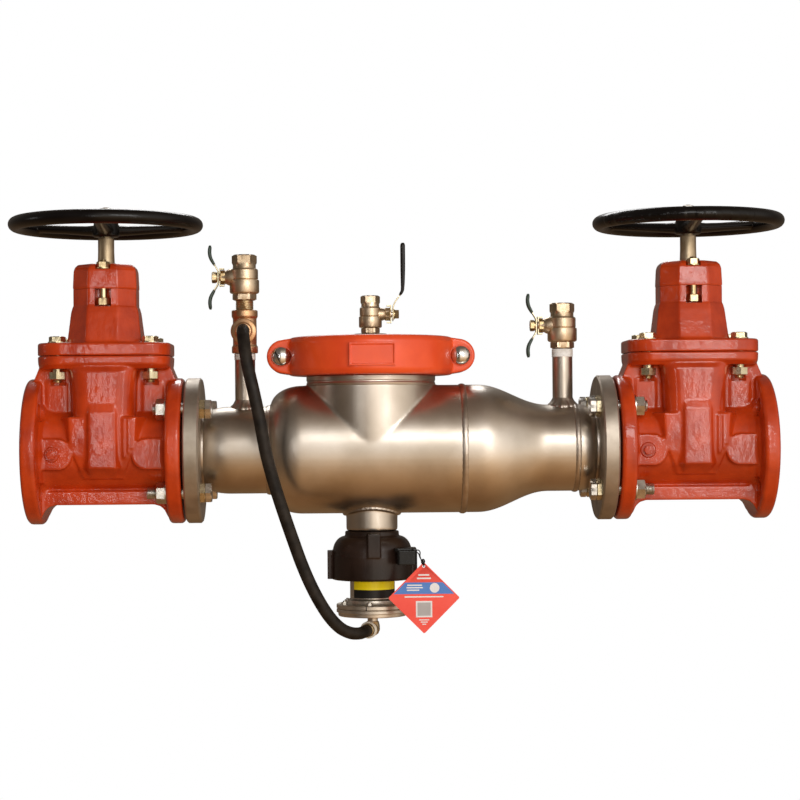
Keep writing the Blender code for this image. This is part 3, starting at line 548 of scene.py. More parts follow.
def body_casting(name):
    half, inner = HALF_VALVE, HALF_VALVE - FLANGE_THICK
    neck = [(58, 56), (59, 68), (62, 76), (68, 80), (70, half - 2), (0, half - 2)]
    web = [(84, 112), (89, 100), (95, 86), (96, -10)]
    fillet = ((86, -86), (82, -86), (80, -82), (77, -76), (72, -71.5), (64, -69), (60, -60),
              (86, -60))
    parts = [
        flange("left_flange", -half, -inner, 3),
        flange("right_flange", half, inner, 3),
        turned("neck", [(radius, -x) for radius, x in neck[::-1]] + neck, way=FLOW),
        lofted("chamber", (
            (40, rounded(77, 122, 24, 10)),
            (46, rounded(80, 125, 22, 10)),
            (84, rounded(82, 125, 22, 10)),
            (103, rounded(86, 125, 22, 10)),
            (110, rounded(96, 116, 22, 10)),
        )),
        lofted("skirt", [
            (z, [(-front, -deep), (front, -deep), (side, -42), (side, 42), (front, deep),
                 (-front, deep), (-side, 42), (-side, -42)])
            for z, front, side, deep in (
                (-35, 24, 36, 49), (-22, 29, 41, 57), (-6, 36, 47, 61.5), (12, 42, 52, 62.5),
                (44, 43, 54, 62.5), (45, 42, 53, 61.5))
        ]),
        lofted("ridge", (
            (-34, bevelled(40, 100, 4)),
            (-21, bevelled(47, 132, 6.5)),
            (50, bevelled(46, 132, 6.5)),
            (64, bevelled(44, 124, 6)),
        )),
        extruded("web", [(-x, z) for x, z in web[::-1]] + web, -27, 27, way=FRONT),
        block("foot", (-84, -38.4, -69), (84, 38.4, -51)),
        lofted("plate", (
            (PLATE_LOW_Z, rounded(164, 107, 30, 12)),
            (PLATE_LOW_Z + 4, rounded(171, 114, 32, 12)),
            (PLATE_LOW_Z + 6, plate_outline(-1)),
            (PLATE_Z - 2, plate_outline()),
            (PLATE_Z, plate_outline(-2)),
        )),
    ]
    for side, wide in ((-1, 55), (1, 57)):
        at = (side * 66 - 0.5, 0, -3.2)
        pad = rounded(wide, 40, 18.5, 10)
        patch = rounded(26, 42, 2.5, 3)
        parts += [
            extruded("fillet", [(side * x, z) for x, z in fillet], -38, 38, way=FRONT),
            extruded("pad", pad, -60.5, 60.5, at, FRONT),
            extruded("rim", [(x * 0.99, z) for x, z in pad], -62, 62, at, FRONT),
            extruded("patch", patch, -28.4, 28.4, (side * 62, 0, 70), FRONT),
        ]
    for x, low in ((27, -8), (32, -2), (37, 4)):
        parts.append(block("bar", (x, -63.6, low), (x + 2.4, 63.6, 42)))
    hollow = curved((0, 0), 50, 180, 360, 24) + [(50, PLATE_Z + 6), (-50, PLATE_Z + 6)]
    cutters = [
        rod("bore", (-half - 5, 0, 0), (half + 5, 0, 0), 38.1, 96),
        extruded("cavity", hollow, -26, 26, way=FLOW),
        block("level", (-120, -120, PLATE_Z - GAP), (120, 120, PLATE_Z + 20)),
        *bolt_cutters(-half - 5, 15 - inner),
        *bolt_cutters(inner - 15, half + 5),
    ]
    for side in (-1, 1):
        cutters.append(rod("end", (side * half, 0, 0), (side * (half + 9), 0, 0), 130))
        for y, z in FLANGE_BOLTS:
            reach = 58 if z > 0 else 50
            cutters.append(rod("seat", (side * (inner - 0.2), y, z), (side * reach, y, z), 14.8))
    for x, y in PLATE_BOLTS:
        cutters.append(drill("hole", x, y, 90, 160, PLATE_HOLE_R))
        cutters.append(drill("seat", x, y, 86, 105, 12.4))
    return cast(name, parts, 1.4, 5, cutters)


def bonnet_casting(name):
    parts = [
        lofted("plate", (
            (PLATE_Z + GAP, plate_outline(-2)),
            (PLATE_Z + 1.5, plate_outline()),
            (PLATE_TOP_Z - 2, plate_outline()),
            (PLATE_TOP_Z, plate_outline(-4)),
        )),
        lofted("dome", (
            (PLATE_Z + 8, bevelled(106, 114, 30)),
            (PLATE_TOP_Z, bevelled(100, 112, 29)),
            (PLATE_TOP_Z + 7, bevelled(95, 108, 27)),
            (165, bevelled(91, 100, 25)),
            (180, bevelled(88, 92, 24)),
            (SHOULDER_Z + 1, bevelled(84, 86, 22)),
        )),
        extruded("neck", bevelled(82, 84, 22), SHOULDER_Z - 4, NECK_TOP_Z + 2),
    ]
    stem_way = ((0, PLATE_Z - 10), (21, PLATE_Z - 10), (21, 160), (STEM_WAY_R, 166),
                (STEM_WAY_R, SHOULDER_Z - 1), (16.2, SHOULDER_Z - 1), (16.2, NECK_TOP_Z + 5),
                (0, NECK_TOP_Z + 5))
    cutters = [
        rod("wedge_room", (-26, 0, WEDGE_Z), (26, 0, WEDGE_Z), 50, 72),
        turned("stem_way", stem_way, steps=64),
        block("slot", (-10.5, -70, 188), (10.5, -24, 230)),
        block("back_slot", (-10.5, 24, 188), (10.5, 70, 230)),
        block("level", (-90, -90, NECK_TOP_Z), (90, 90, NECK_TOP_Z + 9)),
    ]
    for x, y in PLATE_BOLTS:
        cutters.append(drill("hole", x, y, 90, 160, PLATE_HOLE_R))
        cutters.append(drill("seat", x, y, PLATE_TOP_Z - 0.3, 163, 12.5))
    return cast(name, parts, 1.2, 4, cutters)


def gland_casting(name):
    low = NECK_TOP_Z + GAP
    parts = [lofted("block", (
        (low - 2, bevelled(80, 82, 22)),
        (low + 2, bevelled(83, 84, 22)),
        (low + 24, bevelled(81, 82, 22)),
        (GLAND_TOP_Z - 4, bevelled(78, 79, 22)),
        (GLAND_TOP_Z, bevelled(70, 70, 20)),
    ))]
    cutters = [
        drill("stem_hole", 0, 0, 190, 260, STEM_WAY_R, 64),
        block("level", (-90, -90, low - 9), (90, 90, low)),
    ]
    for y, outside in ((-GLAND_STUD_Y, -60), (GLAND_STUD_Y, 60)):
        cutters += [
            drill("notch", 0, y, 237, 260, 9.6),
            block("notch_mouth", (-9.6, y, 237), (9.6, outside, 260)),
            drill("stud_way", 0, y, 200, 250, 4.7, 32),
        ]
    return cast(name, parts, 1.1, 4, cutters)


def hexed(across, low, high):
    """The side of a hexagon's profile, with chamfered corners at its high end."""
    corner, flat = across / 2 * HEX_CORNER + 0.01, across / 2 * 0.96
    rise = (corner - 0.01 - flat) * 0.45
    return [(corner, low, across), (corner, high - rise, across), (flat, high, across)]


def hex_nut(name, across, low, high, hole, at=ORIGIN, way=UP, washer=0.0):
    """A nut with chamfered corners and a countersunk hole, on a washer face if one is given."""
    profile = [(hole, low), (across / 2 * 1.02, low)]
    if washer:
        profile = [(hole, low), (washer, low), (washer, low + 1.6), (across / 2, low + 1.6)]
        low += 1.6
    profile += [*hexed(across, low + 0.2, high), (hole + 1, high), (hole, high - 1)]
    return turned(name, profile, at, way, sharp=25)


def hex_head(name, across, low, high, at=ORIGIN, way=UP):
    return turned(name, [(0, low), *hexed(across, low, high), (0, high)], at, way, sharp=25)


def wheel_rim(bumps):
    wide, high = RIM_R * 1.2, RIM_R * 1.12
    angles = [-math.tau * step / 24 for step in range(24)]
    profile = [(WHEEL_R - wide + wide * math.cos(angle), WHEEL_Z - 1 + high * math.sin(angle))
               for angle in angles]

    def ripple(angle, index):
        """Low raised blocks on the outer side of a stretch of the rim, inside its full radius."""
        outside = max(0.0, math.cos(math.tau * (index - 3) / 24))
        raised = math.cos(angle + 1.9) > 0.6 and math.sin(angle * 34) > 0.1
        return bumps * outside * raised - bumps

    return turned("rim", profile, steps=480, ripple=ripple)


def handwheel(name, bumps):
    hub = ((0, HUB_LOW_Z + 1), (15.5, HUB_LOW_Z + 1), (17.5, HUB_LOW_Z + 3), (16, HUB_TOP_Z - 5),
           (13.5, HUB_TOP_Z + 1), (0, HUB_TOP_Z + 1))
    parts = [wheel_rim(bumps), turned("hub", hub)]
    spoke = ((8, 290, 11, 8), (30, 291, 9, 6.5), (70, 294.5, 8, 5.5), (105, 297.5, 8.5, 5.5),
             (WHEEL_R - RIM_R, WHEEL_Z, 11, 5.5))
    for n in range(3):
        angle = math.tau * n / 3 - math.pi / 2
        way = Vector((math.cos(angle), math.sin(angle), 0))
        across = Vector((-way.y, way.x, 0))
        rings = [oval(way * reach + UP * z, across * wide, UP * high, 16)
                 for reach, z, wide, high in spoke]
        parts.append(make("spoke", skinned(rings)))
    cutters = [drill("hole", 0, 0, 270, 310, 7.3), drill("level", 0, 0, HUB_TOP_Z, 309, 30)]
    return cast(name, parts, 1.1, 3, cutters)


def place(made, at, way=UP):
    """Turns a piece that was made about the Z axis to lie along way, and moves it."""
    made.data.transform(Matrix.Translation(Vector(at) * MM) @ frame_along(way).to_4x4())
    return made


def flange_bolt(side, n, y, z, face_x, end_x, way):
    """Head on the housing's side, nut and thread on the valve's side; way runs from nut to head."""
    grip = abs(end_x - face_x)
    at = (end_x, y, z)
    name = f"{side}_bolt_{n}"
    spare = 12.0 if z < 0 else 4.0
    parts = [
        drill("shank", 0, 0, -grip - 3, 3, 7.9),
        threaded("thread", 7.9, 0.9, 2.0, grip, grip + 13 + spare, way=-UP),
        drill("under", 0, 0, -grip - 13, 5, 7),
        hex_head("head", FLANGE_NUT, GAP + 7, GAP + 15),
    ]
    bolt = sharpen(place(gather(f"{name}_steel", parts), at, way), 28)
    dress(bolt, ZINC, "root", f"{side}_flange_bolt_{n}")
    spacer = hex_nut(f"{name}_near_nut", FLANGE_NUT, GAP, GAP + 6.8, 8.0)
    dress(place(spacer, at, way), YELLOW_ZINC, "root")
    low, high = grip + GAP, grip + GAP + 13
    nut = hex_nut(f"{name}_nut", FLANGE_NUT, low, high, 7.3, way=-UP, washer=14.2)
    dress(place(nut, at, way), ZINC, "root")


def bonnet_bolt(side, n, x, y):
    grip = PLATE_TOP_Z - PLATE_LOW_Z + 3.5
    at = (x, y, PLATE_TOP_Z)
    name = f"{side}_cap_bolt_{n}"
    parts = [
        hex_head("head", PLATE_NUT, 1.8, 8.6),
        drill("washer", 0, 0, 0.1, 1.8, 12),
        drill("shank", 0, 0, -grip, 1, 6.3),
        threaded("thread", 6.3, 0.8, 1.8, grip - 1, grip + 14, way=-UP),
    ]
    bolt = sharpen(place(gather(f"{name}_steel", parts), at), 28)
    dress(bolt, YELLOW_ZINC, "root", f"{side}_bonnet_bolt_{n}")
    nut = hex_nut(f"{name}_nut", PLATE_NUT, grip + 0.1, grip + 10, 5.6, at, -UP)
    dress(nut, YELLOW_ZINC, "root")


def make_valve(side, centre_x, bolted_side, shared):
    wheel = f"{side}_wheel"
    for name, mesh, metal, body in (
        ("valve_body", "valve_body", RED, "root"), ("bonnet", "bonnet", RED, "root"),
        ("gland", "gland", RED, "root"), ("handwheel", wheel, BLACK_ENAMEL, wheel),
    ):
        made = add_object(f"{side}_{name}_cast", shared[mesh])
        made.location.x = centre_x * MM
        dress(made, metal, body, f"{side}_{name}")

    at = (centre_x, 0, 0)
    stem = turned(f"{side}_spindle", (
        (0, 48), (STEM_R - 1, 48), (STEM_R, 50), (STEM_R, SHOULDER_Z), (15.8, SHOULDER_Z),
        (15.8, SHOULDER_Z + 9), (STEM_R, SHOULDER_Z + 9), (STEM_R, GLAND_TOP_Z + 0.5),
        (STEM_R + 0.2, GLAND_TOP_Z + 1), (STEM_R, GLAND_TOP_Z + 6), (STEM_R - 0.4, 262),
        (STEM_R - 0.4, HUB_LOW_Z - 2), (STEM_R - 1, HUB_LOW_Z - GAP), (7, HUB_LOW_Z - GAP),
        (7, HUB_TOP_Z - 3), (4.5, HUB_TOP_Z - 3), (4.5, 319), (3.8, 320), (0, 320),
    ), at)
    dress(stem, SPINDLE, wheel, f"{side}_stem")
    nut = hex_nut(f"{side}_top_nut", 15, HUB_TOP_Z + 1.3, 319, 4.8, at)
    dress(nut, ZINC, wheel, f"{side}_wheel_nut")
    wedge = turned(f"{side}_wedge_disc", (
        (0, -WEDGE_HALF + 1), (WEDGE_R - 4, -WEDGE_HALF + 1), (WEDGE_R - 1, -WEDGE_HALF + 4),
        (WEDGE_R, -9), (WEDGE_R - 3, -6), (WEDGE_R - 3, 6), (WEDGE_R, 9),
        (WEDGE_R - 1, WEDGE_HALF - 4), (WEDGE_R - 4, WEDGE_HALF - 1), (0, WEDGE_HALF - 1),
    ), (centre_x, 0, WEDGE_Z), FLOW)
    boolean(wedge, "UNION", [drill("boss", centre_x, 0, 100, WEDGE_Z + WEDGE_R + 20, 17)])
    boolean(wedge, "DIFFERENCE", [drill("hole", centre_x, 0, 30, 160, STEM_WAY_R)])
    dress(sharpen(wedge, 35), RUBBER, f"{side}_wedge_body", f"{side}_wedge")

    for n, (x, y) in enumerate(PLATE_BOLTS, 1):
        bonnet_bolt(side, n, centre_x + x, y)
    for y in (-GLAND_STUD_Y, GLAND_STUD_Y):
        # The nut that holds the gland down stands in its notch, on a stud from the bonnet's slot
        stud_at = (centre_x, y, 0)
        stud = gather(f"{side}_gland_stud_{y > 0}", [
            threaded("thread", 4.5, 0.6, 1.5, 212, 248.5, stud_at, steps=20),
            turned("shank", ((0, 190), (5, 190), (5, 213.6), (0, 213.6)), stud_at),
            hex_head("head", 16.5, 190.2, 199.2, stud_at),
        ])
        dress(sharpen(stud, 28), BRASS, "root")
        gland_nut = hex_nut(f"{side}_gland_nut_{y > 0}", 15, 237.2, 246.4, 4.5, stud_at, washer=8.8)
        dress(gland_nut, BRASS, "root")
    plug_at = (centre_x - 64.5, -61.8, -3.2)
    ring = ((0, -3), (10.5, -3), (10.3, 0.6), (9, 2.2), (0, 2.2))
    plug = gather(f"{side}_body_plug", [
        turned("ring", ring, plug_at, FRONT),
        hex_head("head", 11.5, 2, 9, plug_at, FRONT),
    ])
    dress(sharpen(plug, 28), RED, "root")

    face_x = centre_x + bolted_side * (HALF_VALVE - FLANGE_THICK)
    end_x = centre_x + bolted_side * (HALF_VALVE + 3 + FLANGE_THICK)
    for n, (y, z) in enumerate(FLANGE_BOLTS, 1):
        flange_bolt(side, n, y, z, face_x, end_x, FLOW * bolted_side)
    near, far = (centre_x + bolted_side * (HALF_VALVE + step) for step in (0.3, 2.7))
    seal = ((39, near), (62, near), (62, far), (39, far))
    dress(turned(f"{side}_gasket", seal, way=FLOW), GASKET, "root")


# ---------------------------------------------------------------- housing


def housing_outline(shrink=0.0):
    """(radius, x) points along the pipe, or along its inside when they shrink by the wall."""
    points = [(NECK_R, HOUSING_X + FLANGE_THICK - 4), (NECK_R, 229)]
    points += arc((NECK_R, 229), (PIPE_R, 263), 14, True)
    points += [(PIPE_R, 290), (PIPE_R, 314)] + arc((PIPE_R, 316), (BARREL_R, 357), 18, True)
    points += [(BARREL_R, 360), (BARREL_R, 480), (BARREL_R, 586)]
    points += wave((BARREL_R, 588), (PIPE_R, 680), 28)
    points += [(PIPE_R, 700), (PIPE_R, 718)] + arc((PIPE_R, 718), (NECK_R, 741), 12, False)
    points += [(NECK_R, HOUSING_END_X - FLANGE_THICK + 4)]
    return [(radius - shrink, x) for radius, x in points]


def steel_housing():
    start, end = HOUSING_X, HOUSING_END_X
    outline = [(0, start + 2), (NECK_R, start + 2), *housing_outline(), (NECK_R, end - 2)]
    at = (BRANCH_X, 0, 0)
    branch = ((0, 1), (BRANCH_R, 1), (BRANCH_R, 84), (BRANCH_R - 2.1, 99), (BRANCH_R - 2.1, 120),
              (0, 120))
    drain = ((0, -107), (DRAIN_R - 0.4, -107), (DRAIN_R, -106), (DRAIN_R, -60), (0, -60))
    inside = [(0, start - 5), (BORE_R, start - 5), *housing_outline(3.6), (BORE_R, end + 5),
              (0, end + 5)]
    hollows = [
        turned("inside", inside, way=FLOW, steps=128),
        drill("branch_bore", BRANCH_X, 0, 20, 140, BRANCH_R - 5.2, 128),
        drill("drain_bore", BRANCH_X, 0, -120, -20, 30.2, 64),
        drill("left_bore", LEFT_RISER_X, 0, 20, 140, RISER_BORE_R),
        drill("right_bore", RIGHT_RISER_X, 0, 20, 140, RISER_BORE_R),
    ]
    body = cast("steel_body", [
        turned("barrel", [*outline, (0, end - 2)], way=FLOW, steps=256),
        turned("branch", branch, at, steps=256),
        turned("drain_neck", drain, at, steps=128),
    ], voxel=1.7, rounds=10, cutters=hollows, sharp=50)
    dress(body, STEEL, "root", "housing")
    for name, near in (("inlet", start), ("outlet", end - FLANGE_THICK)):
        rim = flange(f"{name}_rim", near, near + FLANGE_THICK, 2.0, inner_r=BORE_R)
        boolean(rim, "DIFFERENCE", bolt_cutters(near - 5, near + FLANGE_THICK + 5))
        dress(sharpen(rim, 30), FLANGE_STEEL, "root")
    collar = ((BRANCH_R - 4, 83), (BRANCH_R - 0.2, 83.4), (BRANCH_R + 1.0, 84.4),
              (BRANCH_R + 1.4, 86.5), (BRANCH_R + 0.5, 88.2), (BRANCH_R + 0.5, 89.4),
              (BRANCH_R + 1.3, 90.4), (BRANCH_R + 1.3, 95.6), (BRANCH_R, 96.8),
              (BRANCH_R - 2.1, 97), (BRANCH_R - 2.1, 105.5), (BRANCH_R, 105.5), (BRANCH_R, 120),
              (BRANCH_R - 4, 120))
    dress(turned("branch_collar", collar, at, steps=256), STEEL, "root")
    foot = ((12, 46), (21.5, 47), (21.5, 54.5), (19.5, 57.5), (16.5, 60.2), (14.6, 63.5),
            (13.4, 66), (12, 66))

    def uneven(angle, index):
        """The waviness of a riser's weld, on all but its ends."""
        waves = 0.5 * math.sin(angle * 17) + 0.4 * math.sin(angle * 7 + 1)
        return waves if 0 < index < 5 else 0

    for name, x, top in (("left", LEFT_RISER_X, 127.1), ("right", RIGHT_RISER_X, 130.7)):
        riser = ((RISER_BORE_R, 48), (13.3, 48), (13.3, top - 0.5), (12.8, top), (RISER_BORE_R, top))
        dress(turned(f"{name}_riser_pipe", riser, (x, 0, 0)), STEEL, "root")
        dress(turned(f"{name}_riser_weld", foot, (x, 0, 0), ripple=uneven, sharp=60), WELD, "root")


def bead(name, points, radius, flat=0.5):
    """A weld's rippled bead along a closed line of points that lie on the steel."""
    line = [Vector(p) for p in points]
    rings = []
    for index, spot in enumerate(line):
        along = (line[(index + 1) % len(line)] - line[index - 1]).normalized()
        out = Vector((0, spot.y, spot.z)).normalized()
        across = along.cross(out).normalized()
        swell = 1 + 0.07 * math.sin(index * 1.7) + 0.05 * noise.noise(spot * 0.3)
        rings.append(oval(spot, across * radius * swell, out * radius * flat, 10))
    dress(make(name, skinned(rings, closed=True)), WELD, "root")


def welds():
    for name, x, radius, wide in (
        ("left_dome_weld", 314.5, PIPE_R - 0.2, 4.2), ("barrel_weld", 567.5, BARREL_R - 0.3, 4.2),
        ("right_dome_weld", 716, PIPE_R - 0.2, 3.6), ("inlet_flange_weld", 227.5, NECK_R + 0.3, 3.0),
        ("outlet_flange_weld", 743.6, NECK_R + 0.3, 3.0),
    ):
        circle = curved((0, 0), radius, 0, 360, 220)[:-1]
        bead(name, [(x, y, z) for y, z in circle], wide)
    # The drain's round neck meets the round barrel along a saddle
    saddle = curved((BRANCH_X, 0), DRAIN_R + 0.5, 0, 360, 140)[:-1]
    line = [(x, y, -math.sqrt(BARREL_R**2 - y**2)) for x, y in saddle]
    bead("drain_weld", line, 4.2, flat=0.8)


# ---------------------------------------------------------------- cap and clamp


def steel_cap():
    inner = BARREL_R - 2.1
    profile = [(80, 124), (BARREL_R, 124), (BARREL_R, 138.5), (inner, 138.5), (inner, 144.5),
               (inner - 1, 145.6), (inner - 4, 146), (26, 146), (24, 147), (22.5, 150.5),
               (21.5, 152), (RISER_BORE_R, 152), (RISER_BORE_R, 142), (76, 142), (80, 138)]
    cap = turned("steel_cap", profile, (BRANCH_X, 0, 0), steps=192, sharp=24)
    dress(cap, STEEL, "root", "cap")
    seal = ((BARREL_R + GAP, 106), (91.8, 106), (91.8, 138), (BARREL_R + GAP, 138))
    ring = turned("rubber_seal", seal, (BRANCH_X, 0, 0), steps=128)
    dress(ring, RUBBER, "root", "clamp_seal")


CLAMP_MID, CLAMP_HALF, CLAMP_R = 122.0, 25.2, 110.0
THROAT_HALF = 16.8
CLAMP_BOLT_X = 117.0


def away_from(side):
    """All that lies on the other side of the clamp's split; side is -1 for the front."""
    return block("away", (-200, side, 60), (200, -side * 200, 180))


def label_block(left, low, right, high, front_y, back_y):
    """A block of the raised label, given from the label's middle."""
    middle_x = 0.5
    return block("label", (middle_x + left, front_y, CLAMP_MID + low),
                 (middle_x + right, back_y, CLAMP_MID + high))


def clamp_half(name, side):
    lip, key, room = BARREL_R + GAP, BARREL_R - 1.8, 92.2
    edge = [(lip - 3, CLAMP_HALF), (103, CLAMP_HALF), (106.4, CLAMP_HALF - 1.0),
            (CLAMP_R - 0.6, CLAMP_HALF - 6), (CLAMP_R, CLAMP_HALF - 8)]
    band = edge + [(radius, -height) for radius, height in edge[::-1]]
    parts = [turned("band", band, (0, 0, CLAMP_MID), steps=160)]
    # Each pad narrows from the band's height to a round end about its bolt
    end = curved((114, 0), 22, -76, 76, 20)
    outline = [(66, -25), (100, -24.4), *end, (100, 24.4), (66, 25)]
    inset = [(x - 1.6 if x > 100 else x, z * 0.93) for x, z in outline]
    cutters = [
        drill("through", 0, 0, 80, 160, lip, 160),
        drill("throat", 0, 0, CLAMP_MID - THROAT_HALF, CLAMP_MID + THROAT_HALF, room, 160),
        away_from(side),
    ]
    for where in (-1, 1):
        wide = [(where * x, z) for x, z in outline]
        slim = [(where * x, z) for x, z in inset]
        levels = ((-side * 1.5, wide), (-side * 26.5, wide), (-side * 28, slim))
        parts.append(lofted("pad", levels, (0, 0, CLAMP_MID), FRONT))
        x = where * CLAMP_BOLT_X
        outside = (x, side * 60, CLAMP_MID)
        cutters.append(rod("hole", (x, -side * 60, CLAMP_MID), outside, 6.8))
        cutters.append(rod("spot", (x, side * 27.2, CLAMP_MID), outside, 14.6, 64))
    made = cast(name, parts, 1.3, 3, cutters)
    if side < 0:
        wide, high, rail = 29.5, 14.5, 2.2
        label = [label_block(-wide, -high, wide, high, -110.3, -100)]
        for corners in (
            (-wide, high - rail, wide, high), (-wide, -high, wide, rail - high),
            (-wide, -high, rail - wide, high), (wide - rail, -high, wide, high),
        ):
            label.append(label_block(*corners, -112.2, -104))
        boolean(made, "UNION", [cast("plate", label, 0.5, 3)])
    for end in (-1, 1):
        near, far = end * THROAT_HALF, end * (CLAMP_HALF - 0.5)
        outline = ((key, near), (lip + 1, near), (lip + 1, far), (key, far))
        ring = turned("key", outline, (0, 0, CLAMP_MID), steps=160)
        boolean(made, "UNION", [boolean(ring, "DIFFERENCE", [away_from(side)])])
    return sharpen(place(made, (BRANCH_X, 0, 0)), 38)


def clamp():
    for name, side in (("clamp_front", -1), ("clamp_rear", 1)):
        dress(clamp_half(f"{name}_cast", side), ORANGE, "root", name)
    for name, x in (("left", BRANCH_X - CLAMP_BOLT_X), ("right", BRANCH_X + CLAMP_BOLT_X)):
        head = [(12.7, 27.6), (13.0, 29)] + arc((13.0, 29), (0, 38.4), 16, False)
        profile = [(0, -50), (5.6, -50), (6.3, -49), (6.3, 27.6), *head]
        bolt = turned(f"clamp_{name}_screw", profile, (x, 0, CLAMP_MID), FRONT, sharp=50)
        dress(bolt, CHROME, "root", f"clamp_bolt_{name}")
        nut = hex_nut(f"clamp_{name}_nut", 20, 28 + GAP, 39, 6.4, (x, 0, CLAMP_MID), -FRONT)
        dress(nut, ZINC, "root")


# ---------------------------------------------------------------- checks inside the housing


def check_valve(name, seat_x, ring_r, hole_r, disc_r, pivot_z):
    face_x, pivot_x = seat_x + 10, seat_x + 16
    seat = turned(f"{name}_ring", (
        (ring_r, 0.6), (ring_r - 0.6, 0), (hole_r + 3, 0), (hole_r, 4), (hole_r, 10),
        (ring_r - 0.6, 10), (ring_r, 9.4),
    ), (seat_x, 0, 0), FLOW)
    boolean(seat, "UNION", [
        block("ear", (face_x - 2, y, pivot_z - 4.5), (pivot_x + 5, y + 5, pivot_z + 5))
        for y in (-14, 9)
    ])
    boolean(seat, "DIFFERENCE", [rod("hole", (pivot_x, -20, pivot_z), (pivot_x, 20, pivot_z), 2.8)])
    dress(seat, BRONZE, "root", f"{name}_seat")
    disc = turned(f"{name}_plate", (
        (0, GAP), (disc_r - 1, GAP), (disc_r, 1.5), (disc_r, 4.6), (disc_r - 1.5, 6), (0, 6),
    ), (face_x, 0, 0), FLOW)
    boolean(disc, "UNION", [
        rod("pin", (pivot_x, -13.5, pivot_z), (pivot_x, 13.5, pivot_z), 2.4),
        rod("knuckle", (pivot_x, -8, pivot_z), (pivot_x, 8, pivot_z), 4.5),
        block("arm", (face_x + 3, -7, -10), (face_x + 10, 7, pivot_z)),
    ])
    dress(disc, RUBBER, f"{name}_clapper", f"{name}_disc")


# ---------------------------------------------------------------- test cocks and tee


def handle_bar(name, line, sizes, way, origin, squareness):
    """A bar of changing width and thickness along (reach, height) points, rounded at its ends.

    Its section is an ellipse where squareness is 1, and nears a rectangle as that nears 0.
    """
    fine = smooth_route([(reach, 0, height) for reach, height in line], 1.6)
    last = len(fine) - 1
    turns = [math.tau * step / 24 for step in range(24)]
    rings = []
    for index, spot in enumerate(fine):
        near = index / last * (len(sizes) - 1)
        low = min(int(near), len(sizes) - 2)
        wide, thick = Vector(sizes[low]).lerp(Vector(sizes[low + 1]), near - low)
        ends = min(index, last - index)
        if ends < 2:
            wide, thick = wide * (0.72, 0.92)[ends], thick * (0.6, 0.88)[ends]
        along = (fine[min(index + 1, last)] - fine[max(index - 1, 0)]).normalized()
        out = Vector((along.z, 0, -along.x))
        ring = []
        for turn in turns:
            flat_x = math.copysign(abs(math.cos(turn)) ** squareness, math.cos(turn))
            flat_y = math.copysign(abs(math.sin(turn)) ** squareness, math.sin(turn))
            corner = spot + FRONT * -wide * flat_x + out * thick * flat_y
            ring.append((way * corner.x, corner.y, corner.z))
        rings.append(ring)
    return make(name, skinned(rings), origin)


